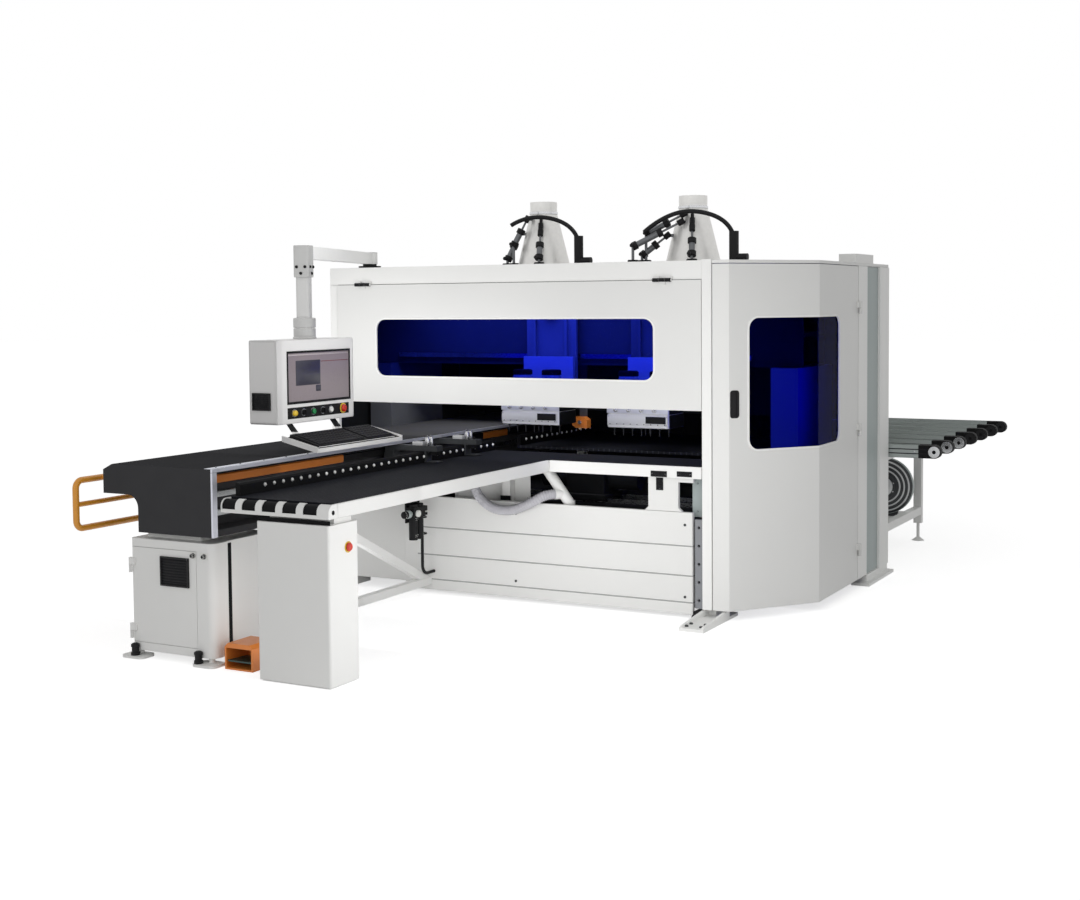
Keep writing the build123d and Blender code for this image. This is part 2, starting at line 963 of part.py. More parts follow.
# Fixed hinge halves and pins of the hatch, the end door and the control cabinet door
control_hinge_lifts = (60, 420)
with BuildPart(datum) as panel_hinges:
    for hinge in hatch_hinges:
        for knuckle_start in (hinge, hinge + 2 * knuckle_length):
            block(
                (knuckle_start, knuckle_start + knuckle_length),
                (hatch_axis_y, fascia_front),
                (fascia_bottom, fascia_bottom + 2 * knuckle_radius),
            )
            rod(
                (knuckle_start, hatch_axis_y, hatch_axis_z),
                (knuckle_start + knuckle_length, hatch_axis_y, hatch_axis_z),
                knuckle_radius,
            )
        rod(
            (hinge, hatch_axis_y, hatch_axis_z),
            (hinge + 3 * knuckle_length, hatch_axis_y, hatch_axis_z),
            pin_radius,
        )
    for lift in door_hinge_lifts:
        pivot = door_bottom + lift
        block(
            (end_x, door_axis_x),
            (rear_post_front, rear_post_front + 3 * knuckle_radius),
            (pivot - knuckle_length, pivot),
        )
        pivot_point = (door_axis_x, door_axis_y, pivot)
        rod((door_axis_x, door_axis_y, pivot - knuckle_length), pivot_point, knuckle_radius)
        rod(pivot_point, (door_axis_x, door_axis_y, pivot + knuckle_length), pin_radius)
    for lift in control_hinge_lifts:
        pivot = control_bottom + control_door_inset + lift
        block(
            (control_left - leaf, control_axis_x),
            (control_axis_y, control_front),
            (pivot - knuckle_length, pivot),
        )
        rod(
            (control_axis_x, control_axis_y, pivot - knuckle_length),
            (control_axis_x, control_axis_y, pivot),
            knuckle_radius,
        )
        rod(
            (control_axis_x, control_axis_y, pivot),
            (control_axis_x, control_axis_y, pivot + knuckle_length),
            pin_radius,
        )
write_node(panel_hinges, "panel_hinges")

# Float-table tops, apart by the drilling gap
infeed_top_right = table_right - edge_thickness
with BuildPart(datum) as table_tops:
    top_z = (table_bottom, table_height)
    block((table_left, infeed_top_right), (nose_back, drill_gap_front), top_z)
    block(
        (infeed_top_right + seam, front_width - seam),
        (cross_table_front + edge_thickness, drill_gap_front),
        top_z,
    )
    block((table_left, front_width - seam), (drill_gap_back, enclosure_depth), top_z)
write_node(table_tops, "table_tops")

# White edge trims and the toothed nose plate
first_window = table_left + nose_first
with BuildPart(datum) as table_edge_trim:
    edge_z = (edge_bottom, table_height)
    block((infeed_top_right, table_right), (nose_back, cross_table_front), edge_z)
    block(
        (table_right + seam, front_width - seam),
        (cross_table_front, cross_table_front + edge_thickness),
        edge_z,
    )
    with BuildSketch(facing_right(table_left)):
        with BuildLine():
            front_edge = Line((nose_front, edge_bottom), (nose_front, nose_axis_z))
            outer_arc = RadiusArc(front_edge @ 1, (nose_axis_y, table_height), nose_radius)
            Line(outer_arc @ 1, (nose_axis_y, table_height - nose_plate_thickness))
            inner_arc = RadiusArc(
                (nose_axis_y, table_height - nose_plate_thickness),
                (nose_front + nose_plate_thickness, nose_axis_z),
                -(nose_radius - nose_plate_thickness),
            )
            Polyline(
                inner_arc @ 1,
                (nose_front + nose_plate_thickness, edge_bottom + nose_plate_thickness),
                (nose_back - seam, edge_bottom + nose_plate_thickness),
                (nose_back - seam, edge_bottom),
                front_edge @ 0,
            )
        make_face()
    extrude(amount=table_right - table_left)
    for place in range(nose_windows):
        window_left = first_window + place * nose_pitch
        block(
            (window_left, window_left + nose_window),
            (nose_front, nose_back),
            (edge_bottom + nose_strip, table_height),
            mode=Mode.SUBTRACT,
        )
        block(
            (window_left, window_left + nose_window),
            (nose_front + 2 * nose_plate_thickness, nose_back),
            (edge_bottom, edge_bottom + nose_strip),
            mode=Mode.SUBTRACT,
        )
    for cheek_left, cheek_width in (
        (table_left, nose_cheek),
        (table_right - edge_thickness, edge_thickness),
    ):
        with BuildSketch(facing_right(cheek_left)):
            with BuildLine():
                cheek_front = Line((nose_front, edge_bottom), (nose_front, nose_axis_z))
                cheek_arc = RadiusArc(cheek_front @ 1, (nose_axis_y, table_height), nose_radius)
                Polyline(
                    cheek_arc @ 1,
                    (nose_back - seam, table_height),
                    (nose_back - seam, edge_bottom),
                    cheek_front @ 0,
                )
            make_face()
            with Locations((nose_axis_y, nose_axis_z)):
                Circle(nose_shaft_radius + running_gap, mode=Mode.SUBTRACT)
        extrude(amount=cheek_width)
write_node(table_edge_trim, "table_edge_trim")

# Loading rollers in the nose, on one shaft
with BuildPart(datum) as nose_rollers:
    with BuildSketch(facing_right(table_left)):
        with Locations((nose_axis_y, nose_axis_z)):
            Circle(nose_shaft_radius)
    extrude(amount=table_right - table_left)
    for place in range(nose_windows):
        with BuildSketch(facing_right(first_window + place * nose_pitch + slide_gap)):
            with Locations((nose_axis_y, nose_axis_z)):
                Circle(nose_roller_radius)
        extrude(amount=nose_window - 2 * slide_gap)
write_node(nose_rollers, "nose_rollers")

# Tubes under the tables, the feed beam and the outfeed
with BuildPart(datum) as support_tubes:
    tube_z = (table_bottom - table_tube, table_bottom)
    for tube_left in (table_left + 37, infeed_top_right - table_tube - 10):
        block((tube_left, tube_left + table_tube), (nose_back, drill_gap_front), tube_z)
    block(
        (table_right + 40, front_width - 40),
        (base_front + table_tube / 4, base_front + table_tube * 5 / 4),
        tube_z,
    )
    for post in table_post_x:
        for post_y in table_post_y:
            block((post, post + table_tube), (post_y, post_y + table_tube), (base_top, table_bottom))
    stand_side = (stand_x - stand_tube / 2, stand_x + stand_tube / 2)
    stand_top = stand_floor_bottom + stand_tube
    block(stand_side, (control_back, 0), (stand_floor_bottom, stand_top))
    for foot, head in ((stand_rear_foot, stand_rear_top), (stand_front_foot, stand_front_top)):
        lean = stand_tube / math.sin(math.atan2(beam_bottom - stand_top, abs(head - foot)))
        with BuildSketch(facing_right(stand_side[0])):
            with BuildLine():
                Polyline(
                    (foot - lean / 2, stand_top + seam),
                    (foot + lean / 2, stand_top + seam),
                    (head + lean / 2, beam_bottom),
                    (head - lean / 2, beam_bottom),
                    close=True,
                )
            make_face()
        extrude(amount=stand_tube)
    rod(
        (hose_port_x, hose_y, table_bottom - hose_spigot),
        (hose_port_x, hose_y, table_bottom),
        hose_radius + hose_spigot / 4,
    )
    duct_top = Vector(infeed_top_right - duct_inset, duct_y, table_bottom - table_tube + leaf)
    duct_bend = Vector(duct_top.X + duct_run, duct_y, base_top + duct_foot)
    duct_share = (duct_top.Z - base_top - duct_port_lift) / (duct_top.Z - duct_bend.Z)
    duct_port = duct_top + (duct_bend - duct_top) * duct_share
    port_way = Vector(math.cos(math.radians(duct_port_turn)), math.sin(math.radians(duct_port_turn)))
    port_mouth = duct_port - port_way * duct_port_reach
    rod(tuple(duct_top), tuple(duct_bend), duct_radius)
    rod((duct_bend.X, duct_y, base_top), (duct_bend.X, duct_y, base_top + 1.5 * duct_foot), duct_radius)
    rod(tuple(port_mouth), tuple(duct_port), hose_radius + knuckle_gap)
    outfeed_rail_z = (outfeed_rail_bottom, outfeed_rail_top)
    for support in outfeed_rail_x:
        block(
            (support - outfeed_tube / 2, support + outfeed_tube / 2),
            (enclosure_depth + seam, back_reach),
            outfeed_rail_z,
        )
    lower_tube_z = (outfeed_lower_tube - outfeed_tube / 2, outfeed_lower_tube + outfeed_tube / 2)
    block(
        (outfeed_leg_x - outfeed_tube / 2, outfeed_leg_x + outfeed_tube / 2),
        (enclosure_depth + seam, outfeed_leg_y - outfeed_tube / 2 - seam),
        lower_tube_z,
    )
    block(
        (blower_x - blower_radius, outfeed_leg_x - outfeed_tube / 2),
        (blower_y - blower_depth, blower_y + 2 * blower_depth),
        (lower_tube_z[0], lower_tube_z[0] + foot_pad),
    )
write_node(support_tubes, "support_tubes")

# Leg box that carries the nose
leg_top = table_bottom - table_tube - leg_drop
leg_height = leg_top - leg_lift
stop_height = leg_top - stop_drop
with BuildPart(datum) as leg_box:
    with BuildSketch(level(leg_lift)):
        with Locations(((leg_left + leg_right) / 2, nose_front + leg_depth / 2)):
            RectangleRounded(leg_right - leg_left, leg_depth, leg_corner)
    extrude(amount=leg_height)
    block(
        (leg_left + leg_neck_inset, leg_right - leg_neck_inset),
        (nose_back, nose_front + leg_depth - leg_neck_inset),
        (leg_top, table_bottom - table_tube),
    )
    with BuildSketch(level(0)):
        with Locations(((leg_left + leg_right) / 2, nose_front + leg_depth / 2)):
            Rectangle(leg_right - leg_left - 2 * leg_corner, leg_depth - 2 * leg_corner)
    extrude(amount=leg_lift)
    block(
        (leg_left + leg_wall, leg_right - leg_wall),
        (nose_front + leg_wall, nose_front + leg_depth - leg_wall),
        (leg_lift + leg_wall, leg_top - leg_wall),
        mode=Mode.SUBTRACT,
    )
    rod(
        (leg_right - button_depth, nose_front + stop_set_back, stop_height),
        (leg_right - leg_wall / 2, nose_front + stop_set_back, stop_height),
        button_boss,
    )
    rod(
        (leg_right - button_depth, nose_front + stop_set_back, stop_height),
        (leg_right, nose_front + stop_set_back, stop_height),
        button_bore + running_gap,
        mode=Mode.SUBTRACT,
    )
write_node(leg_box, "leg_box")

# Stop button on the leg
with BuildPart(datum) as leg_stop:
    with BuildSketch(facing_right(leg_right + stop_travel + knuckle_gap)):
        with Locations((nose_front + stop_set_back, stop_height)):
            Circle(stop_cap_radius)
    extrude(amount=stop_cap_radius / 2)
    chamfer(leg_stop.edges().sort_by(Axis.X)[-1], length=stop_cap_radius / 4)
    rod(
        (leg_right - button_depth + stop_travel + knuckle_gap, nose_front + stop_set_back, stop_height),
        (leg_right + stop_travel + knuckle_gap, nose_front + stop_set_back, stop_height),
        button_bore,
    )
write_node(leg_stop, "leg_stop")

# Side fence on the table's left edge
with BuildPart(datum) as side_fence:
    with BuildSketch(facing_front(drill_gap_front)):
        with BuildLine():
            Polyline(
                (table_left, table_height),
                (table_left + fence_width, table_height),
                (table_left + fence_width, table_height + fence_height - fence_width / 3),
                (table_left + fence_width * 2 / 3, table_height + fence_height),
                (table_left, table_height + fence_height),
                close=True,
            )
        make_face()
    extrude(amount=drill_gap_front - nose_back - nose_radius)
    with BuildSketch(facing_front(beam_back)):
        with BuildLine():
            Polyline(
                (table_left, table_height),
                (table_left + fence_width, table_height),
                (table_left + fence_width, table_height + fence_height - fence_width / 3),
                (table_left + fence_width * 2 / 3, table_height + fence_height),
                (table_left, table_height + fence_height),
                close=True,
            )
        make_face()
    extrude(amount=beam_back - drill_gap_back)
write_node(side_fence, "side_fence")

# Feed beam: one folded cover with a channel on its right and an end plate
beam_curve = beam_foot_x - beam_notch_x
with BuildPart(datum) as feed_beam_cover:
    with BuildSketch(facing_front(beam_back)):
        with BuildLine():
            left_side = Polyline(
                (beam_notch_x, beam_notch_z),
                (beam_left, beam_notch_z),
                (beam_left, beam_top - beam_corner_z),
                (beam_left + beam_corner_x, beam_top),
                (beam_right, beam_top),
                (beam_right, beam_stub_top),
                (beam_web, beam_stub_top),
                (beam_web, beam_bottom + beam_sill),
                (beam_right, beam_bottom + beam_sill),
                (beam_right, beam_bottom),
                (beam_foot_x, beam_bottom),
                (beam_foot_x, beam_notch_z - beam_curve),
            )
            RadiusArc(left_side @ 1, left_side @ 0, -beam_curve)
        make_face()
    extrude(amount=beam_back - beam_front)
    with BuildSketch(facing_front(beam_back)):
        with Locations(((beam_foot_x + beam_web) / 2, (beam_bottom + beam_notch_z) / 2)):
            Rectangle(beam_web - beam_foot_x - 2 * beam_wall, beam_notch_z - beam_bottom - 2 * beam_wall)
        with Locations(((beam_left + beam_web) / 2, (beam_notch_z + beam_stub_top) / 2 + beam_wall)):
            Rectangle(
                beam_web - beam_left - 4 * beam_wall,
                beam_stub_top - beam_notch_z - 2 * beam_wall,
            )
    extrude(amount=beam_back - beam_front - end_plate, mode=Mode.SUBTRACT)
    block(
        (beam_web, beam_right),
        (beam_front, beam_front + end_plate),
        (beam_bottom + beam_sill, beam_stub_top),
    )
write_node(feed_beam_cover, "feed_beam_cover")

# Aluminium edge frame on the beam's right side
with BuildPart(datum) as feed_beam_frame:
    block(
        (beam_right, beam_right + edge_frame),
        (beam_front, beam_back),
        (beam_top - edge_frame_height, beam_top),
    )
    block(
        (beam_right, beam_right + edge_frame),
        (beam_front, beam_front + 3 * edge_frame),
        (beam_bottom, beam_top - edge_frame_height - seam),
    )
write_node(feed_beam_frame, "feed_beam_frame")

# Orange guard strip along the beam's web, and the orange unit that hangs under the crossbeam
with BuildPart(datum) as beam_strip:
    with BuildSketch(facing_front(beam_back)):
        with Locations((beam_web + strip_depth / 2, strip_bottom + strip_height / 2)):
            Rectangle(strip_depth, strip_height)
    extrude(amount=beam_back - beam_front - end_plate)
    chamfer(beam_strip.edges().filter_by(Axis.Y).group_by(Axis.X)[-1], length=strip_depth / 4)
    with BuildSketch(facing_front(unit_front + unit_depth)):
        with BuildLine():
            Polyline(
                (unit_left, unit_bottom + unit_height / 4),
                (unit_left + unit_width / 4, unit_bottom),
                (unit_left + unit_width, unit_bottom),
                (unit_left + unit_width, unit_bottom + unit_height * 3 / 4),
                (unit_left + unit_width * 3 / 4, unit_bottom + unit_height),
                (unit_left, unit_bottom + unit_height),
                close=True,
            )
        make_face()
    extrude(amount=unit_depth)
write_node(beam_strip, "beam_strip")

# Clamp carriages that ride in the beam's channel, and their jaws
carriage_back = beam_web + rail_height + 2 * slide_gap
plate_front = carriage_back + clamp_plate
arm_bottom = table_height + fence_height + clamp_float + 2
arm_top = arm_bottom + clamp_arm_height
finger_top = table_height + clamp_float + clamp_finger
finger_back = table_left + fence_width + clamp_float
jaw_x = (finger_back + clamp_reach) / 2 + 10
jaw_height = 24
for place, node in enumerate(("front_clamp_carriage", "rear_clamp_carriage")):
    centre = clamp_y[place]
    with BuildPart(datum) as clamp_carriage:
        block(
            (carriage_back, plate_front),
            (centre - clamp_half, centre + clamp_half),
            (beam_rail_low - bearing_height / 2, beam_rail_high + bearing_height / 2),
        )
        for height in (beam_rail_low, beam_rail_high):
            block(
                (beam_web + leaf, carriage_back),
                (centre - clamp_half, centre + clamp_half),
                (height - rail_width, height + rail_width),
            )
            block(
                (beam_web, carriage_back - slide_gap),
                (centre - clamp_half, centre + clamp_half),
                (height - rail_width / 2 - slide_gap, height + rail_width / 2 + slide_gap),
                mode=Mode.SUBTRACT,
            )
        with BuildSketch(facing_front(centre + clamp_arm_half)):
            with BuildLine():
                Polyline(
                    (carriage_back, beam_rail_high),
                    (plate_front + clamp_half / 2, beam_rail_high),
                    (plate_front + clamp_half / 2, arm_bottom),
                    (finger_back, arm_bottom),
                    (finger_back, finger_top - clamp_finger),
                    (clamp_reach, finger_top - clamp_finger),
                    (clamp_reach, finger_top),
                    (finger_back + 2 * clamp_finger, finger_top),
                    (finger_back + 2 * clamp_finger, arm_bottom),
                    (clamp_reach, arm_bottom),
                    (clamp_reach, arm_top),
                    (carriage_back + strip_depth, arm_top),
                    (carriage_back, strip_bottom - seam),
                    close=True,
                )
            make_face()
        extrude(amount=2 * clamp_arm_half)
        rod(
            (jaw_x, centre, arm_bottom),
            (jaw_x, centre, arm_top),
            jaw_rod_radius + running_gap,
            mode=Mode.SUBTRACT,
        )
    write_node(clamp_carriage, node)

for place, node in enumerate(("front_clamp_jaw", "rear_clamp_jaw")):
    centre = clamp_y[place]
    with BuildPart(datum) as clamp_jaw:
        block(
            (jaw_x - jaw_height, jaw_x + jaw_height),
            (centre - jaw_height, centre + jaw_height),
            (arm_bottom - knuckle_gap - jaw_height, arm_bottom - knuckle_gap),
        )
        rod(
            (jaw_x, centre, arm_bottom - knuckle_gap),
            (jaw_x, centre, arm_top + jaw_stroke / 2),
            jaw_rod_radius,
        )
    write_node(clamp_jaw, node)

# Control cabinet under the beam, open behind its door
control_door_z = (control_bottom + control_door_inset, control_top - control_door_inset)
with BuildPart(datum) as control_cabinet:
    with BuildSketch(level(control_bottom)) as control_plan:
        with Locations(((control_left + control_right) / 2, control_front + control_depth / 2)):
            Rectangle(control_right - control_left, control_depth)
        fillet(control_plan.vertices().group_by(Axis.Y)[-1], radius=control_corner)
        fillet(control_plan.vertices().group_by(Axis.Y)[0].sort_by(Axis.X)[-1], radius=2 * control_corner)
        fillet(control_plan.vertices().group_by(Axis.Y)[0].sort_by(Axis.X)[0], radius=control_corner)
    extrude(amount=control_top - control_bottom)
    block(
        (control_right - control_step, control_right),
        (control_front + control_pillar, control_back),
        (control_bottom, control_top),
        mode=Mode.SUBTRACT,
    )
    block(
        (control_left + control_wall, control_right - control_wall),
        (control_front + control_door_thickness, control_back - control_wall),
        (control_bottom + control_wall, control_top - control_wall),
        mode=Mode.SUBTRACT,
    )
    block(
        (control_left + control_wall - seam, control_door_right),
        (control_front, control_front + 2 * control_door_thickness),
        control_door_z,
        mode=Mode.SUBTRACT,
    )
    block(
        (beam_foot_x + beam_wall, beam_web),
        (control_front + 70, control_back - 70),
        (control_top, beam_bottom),
    )
    block(
        (control_left + 60, control_right - 60),
        (control_back - control_wall - 90, control_back - control_wall),
        (control_bottom + 90, control_top - 90),
    )
write_node(control_cabinet, "control_cabinet")

# Control cabinet door with a louvred fan opening
louvre_count = 7
with BuildPart(datum) as control_door:
    with BuildSketch(facing_front(control_front + control_door_thickness - seam)):
        door_left = control_left + control_wall
        door_right = control_door_right - seam
        with Locations(((door_left + door_right) / 2, sum(control_door_z) / 2)):
            Rectangle(door_right - door_left, control_door_z[1] - control_door_z[0] - 2 * seam)
        with Locations((
            control_grille_left + control_grille_width / 2,
            control_grille_bottom + control_grille_height / 2,
        )):
            with GridLocations(1, control_grille_height / louvre_count, 1, louvre_count):
                Rectangle(control_grille_width, control_grille_height / louvre_count / 2, mode=Mode.SUBTRACT)
    extrude(amount=control_door_thickness - seam)
    for lift in control_hinge_lifts:
        pivot = control_bottom + control_door_inset + lift + knuckle_gap
        block(
            (control_axis_x, control_axis_x + 3 * knuckle_radius),
            (control_axis_y - knuckle_radius / 2, control_front),
            (pivot, pivot + knuckle_length),
        )
        rod(
            (control_axis_x, control_axis_y, pivot),
            (control_axis_x, control_axis_y, pivot + knuckle_length),
            knuckle_radius,
        )
        rod(
            (control_axis_x, control_axis_y, pivot),
            (control_axis_x, control_axis_y, pivot + knuckle_length),
            pin_radius + running_gap,
            mode=Mode.SUBTRACT,
        )
write_node(control_door, "control_door")

# Guard rail of bent tube on the beam's left side
guard_back = guard_front + guard_length
with BuildPart(datum) as guard_rail:
    with BuildLine(facing_right(rail_x)) as guard_path:
        FilletPolyline(
            (guard_back, guard_top),
            (guard_front + guard_tube_radius, guard_top),
            (guard_front + guard_tube_radius, guard_bottom),
            (guard_back, guard_bottom),
            radius=guard_bend,
        )
    with BuildSketch(Plane(origin=guard_path.line @ 0, z_dir=guard_path.line % 0)):
        Circle(guard_tube_radius)
    sweep(path=guard_path.line)
    guard_middle = (guard_top + guard_bottom) / 2
    rod(
        (rail_x, guard_front + guard_tube_radius, guard_middle),
        (rail_x, guard_back, guard_middle),
        guard_tube_radius * 0.8,
    )
    rod(
        (rail_x, guard_back - guard_tube_radius, guard_bottom),
        (rail_x, guard_back - guard_tube_radius, guard_top),
        guard_tube_radius * 0.8,
    )
    for along in (guard_front + guard_length / 3, guard_back - 3 * guard_tube_radius):
        rod((rail_x, along, guard_top), (beam_left, along, guard_top), guard_tube_radius * 0.8)
write_node(guard_rail, "guard_rail")

# Swing arm base on the roof
arm_base_top = enclosure_height + arm_post_height
arm_top_height = arm_base_top + pivot_gap + arm_height
with BuildPart(datum) as arm_base:
    with Locations((arm_base_x, arm_base_y, enclosure_height)):
        Cylinder(arm_flange_radius, arm_post_height / 2, align=(Align.CENTER, Align.CENTER, Align.MIN))
        Cylinder(arm_post_radius, arm_post_height, align=(Align.CENTER, Align.CENTER, Align.MIN))
        Cylinder(
            arm_pin_radius,
            arm_post_height + arm_height / 2,
            align=(Align.CENTER, Align.CENTER, Align.MIN),
        )
write_node(arm_base, "arm_base")

# Swing arm: hub, tube, corner joint and drop tube in one body
arm_run = Vector(arm_joint_x - arm_base_x, arm_joint_y - arm_base_y)
arm_bottom_height = arm_base_top + pivot_gap
arm_plane = Plane(
    origin=(arm_base_x - middle_x, arm_base_y - middle_y, arm_bottom_height),
    x_dir=(arm_run.X, arm_run.Y, 0),
    z_dir=(0, 0, 1),
)
with BuildPart(arm_plane) as swing_arm:
    Cylinder(arm_hub_radius, arm_height, align=(Align.CENTER, Align.CENTER, Align.MIN))
    with BuildSketch(arm_plane):
        with Locations((arm_run.length / 2, 0)):
            Rectangle(arm_run.length, arm_width)
    extrude(amount=arm_height)
    with BuildSketch(arm_plane):
        with Locations((arm_run.length, 0)):
            RectangleRounded(corner_block, corner_block, corner_block / 6)
    extrude(amount=arm_height + pivot_gap)
    with BuildSketch(arm_plane):
        with Locations((arm_run.length, 0)):
            RectangleRounded(corner_block, corner_block, corner_block / 6)
    extrude(amount=-corner_drop)
    with BuildSketch(arm_plane):
        with Locations((arm_run.length, 0)):
            RectangleRounded(drop_depth, drop_width, drop_depth / 4)
    extrude(amount=-(arm_bottom_height - collar_top - pivot_gap))
    with Locations((arm_run.length, 0, collar_top + pivot_gap - arm_bottom_height)):
        Cylinder(arm_pin_radius, arm_height / 2, align=(Align.CENTER, Align.CENTER, Align.MAX))
    Cylinder(
        arm_pin_radius + running_gap,
        arm_height / 2 + pivot_gap,
        align=(Align.CENTER, Align.CENTER, Align.MIN),
        mode=Mode.SUBTRACT,
    )
write_node(swing_arm, "swing_arm")

# Console housing with its collar, screen pocket and button bores
bezel_y = console_middle + 31
button_places = [*selector_offsets, green_offset, stop_offset]
with BuildPart(datum) as console_housing:
    with BuildSketch(facing_right(console_back)):
        with Locations((console_middle, (console_bottom + console_top) / 2)):
            RectangleRounded(console_width, console_top - console_bottom, console_corner)
    extrude(amount=console_depth)
    block(
        (console_back + console_wall, console_face - console_front_wall),
        (console_side + console_wall, console_side + console_width - console_wall),
        (console_bottom + console_wall, console_top - console_wall),
        mode=Mode.SUBTRACT,
    )
    with BuildSketch(facing_right(console_face)):
        with Locations((bezel_y, screen_bottom + screen_height / 2)):
            Rectangle(screen_width, screen_height)
    extrude(amount=-screen_pocket, mode=Mode.SUBTRACT)
    with BuildSketch(facing_front(console_side)):
        with Locations((console_back + fan_left + fan_width / 2, console_bottom + fan_lift + fan_height / 2)):
            with GridLocations(1, fan_height / fan_slots, 1, fan_slots):
                Rectangle(fan_width, fan_height / fan_slots / 2)
    extrude(amount=-console_wall, mode=Mode.SUBTRACT)
    with Locations((arm_joint_x, arm_joint_y, console_top)):
        Cylinder(collar_radius, collar_height / 2, align=(Align.CENTER, Align.CENTER, Align.MIN))
        Cylinder(collar_radius - collar_step, collar_height, align=(Align.CENTER, Align.CENTER, Align.MIN))
    with Locations((arm_joint_x, arm_joint_y, collar_top)):
        Cylinder(
            arm_pin_radius + running_gap,
            arm_height / 2 + pivot_gap,
            align=(Align.CENTER, Align.CENTER, Align.MAX),
            mode=Mode.SUBTRACT,
        )
    for offset in button_places:
        rod(
            (console_face - button_depth, console_middle + offset, button_height),
            (console_face - console_front_wall / 2, console_middle + offset, button_height),
            button_boss,
        )
        rod(
            (console_face - button_depth, console_middle + offset, button_height),
            (console_face, console_middle + offset, button_height),
            button_bore + running_gap,
            mode=Mode.SUBTRACT,
        )
write_node(console_housing, "console_housing")

with BuildPart(datum) as console_screen:
    with BuildSketch(facing_right(console_face - screen_pocket)):
        with Locations((bezel_y, screen_bottom + screen_height / 2)):
            Rectangle(screen_width - 2 * glass_gap, screen_height - 2 * glass_gap)
    extrude(amount=screen_thickness)
write_node(console_screen, "console_screen")

# Console controls
selector_radius = 16
selector_height = 14
selector_grip = 9
for place, node in enumerate(("left_selector", "right_selector")):
    selector_y = console_middle + selector_offsets[place]
    with BuildPart(datum) as selector:
        with BuildSketch(facing_right(console_face + knuckle_gap)):
            with Locations((selector_y, button_height)):
                Circle(selector_radius)
        extrude(amount=selector_height / 2)
        with BuildSketch(facing_right(console_face + knuckle_gap)):
            with Locations((selector_y, button_height)):
                SlotOverall(2 * selector_radius, selector_grip, rotation=90)
        extrude(amount=selector_height * 1.5)
        rod(
            (console_face - button_depth / 2, selector_y, button_height),
            (console_face + knuckle_gap, selector_y, button_height),
            button_bore,
        )
    write_node(selector, node)

for node, offset, travel, cap in (
    ("green_button", green_offset, button_travel, selector_radius),
    ("console_stop", stop_offset, stop_travel, stop_cap_radius),
):
    button_y = console_middle + offset
    cap_start = console_face + travel + knuckle_gap
    with BuildPart(datum) as button:
        with BuildSketch(facing_right(cap_start)):
            with Locations((button_y, button_height)):
                Circle(cap)
        extrude(amount=cap / 2)
        chamfer(button.edges().sort_by(Axis.X)[-1], length=cap / 4)
        rod(
            (cap_start - button_depth, button_y, button_height),
            (cap_start, button_y, button_height),
            button_bore,
        )
    write_node(button, node)

# Keyboard tray: sloping plate with raised side lips and the keyboard on it, on two struts
tray_y = console_middle + 77
tray_half = console_width / 2 + tray_overhang
keyboard_half = tray_half - 2 * keyboard_inset
keyboard_back = tray_back + keyboard_inset
keyboard_front = tray_front - keyboard_inset
keyboard_slope = tray_fall / tray_depth
keyboard_back_foot = tray_back_height - keyboard_inset * keyboard_slope
keyboard_front_foot = tray_front_height + keyboard_inset * keyboard_slope
with BuildPart(datum) as keyboard_tray:
    with BuildSketch(facing_front(tray_y + tray_half)):
        with BuildLine():
            Polyline(
                (tray_back, tray_back_height),
                (tray_front, tray_front_height),
                (tray_front, tray_front_height - tray_thickness),
                (tray_back, tray_back_height - tray_thickness),
                close=True,
            )
        make_face()
    extrude(amount=2 * tray_half)
    for lip_back in (tray_y + tray_half, tray_y - tray_half + tray_lip):
        with BuildSketch(facing_front(lip_back)):
            with BuildLine():
                Polyline(
                    (tray_back, tray_back_height + tray_lip),
                    (tray_front, tray_front_height + tray_lip),
                    (tray_front, tray_front_height - tray_thickness),
                    (tray_back, tray_back_height - tray_thickness),
                    close=True,
                )
            make_face()
        extrude(amount=tray_lip)
    with BuildSketch(facing_front(tray_y + keyboard_half)):
        with BuildLine():
            Polyline(
                (keyboard_back, keyboard_back_foot),
                (keyboard_front, keyboard_front_foot),
                (keyboard_front, keyboard_front_foot + keyboard_thickness / 2),
                (keyboard_back, keyboard_back_foot + keyboard_thickness),
                close=True,
            )
        make_face()
    extrude(amount=2 * keyboard_half)
    for strut_y in (console_middle - strut_spacing / 2, console_middle + strut_spacing / 2):
        with BuildSketch(facing_front(strut_y + strut_radius)):
            with BuildLine():
                Polyline(
                    (console_face - 60, console_bottom),
                    (console_face - 30, console_bottom),
                    (tray_back + 30, tray_back_height - tray_thickness / 2),
                    (tray_back, tray_back_height - tray_thickness),
                    close=True,
                )
            make_face()
        extrude(amount=2 * strut_radius)
write_node(keyboard_tray, "keyboard_tray")

# Foot pedal and its guard
pedal_right = pedal_left + pedal_width
pedal_back = pedal_front + pedal_length
pedal_pin_y = pedal_back - 3 * pedal_wall
with BuildPart(datum) as pedal_guard:
    with BuildSketch(facing_front(pedal_back)):
        with Locations(((pedal_left + pedal_right) / 2, pedal_height / 2)):
            Rectangle(pedal_width, pedal_height)
    extrude(amount=pedal_length)
    chamfer(pedal_guard.edges().filter_by(Axis.Y).group_by(Axis.Z)[-1], length=2 * pedal_wall)
    block(
        (pedal_left + pedal_wall, pedal_right - pedal_wall),
        (pedal_front, pedal_back - pedal_wall),
        (pedal_wall, pedal_height - 2.5 * pedal_wall),
        mode=Mode.SUBTRACT,
    )
    rod(
        (pedal_left + pedal_wall, pedal_pin_y, pedal_pin_height),
        (pedal_right - pedal_wall, pedal_pin_y, pedal_pin_height),
        pedal_pin_radius,
    )
write_node(pedal_guard, "pedal_guard")

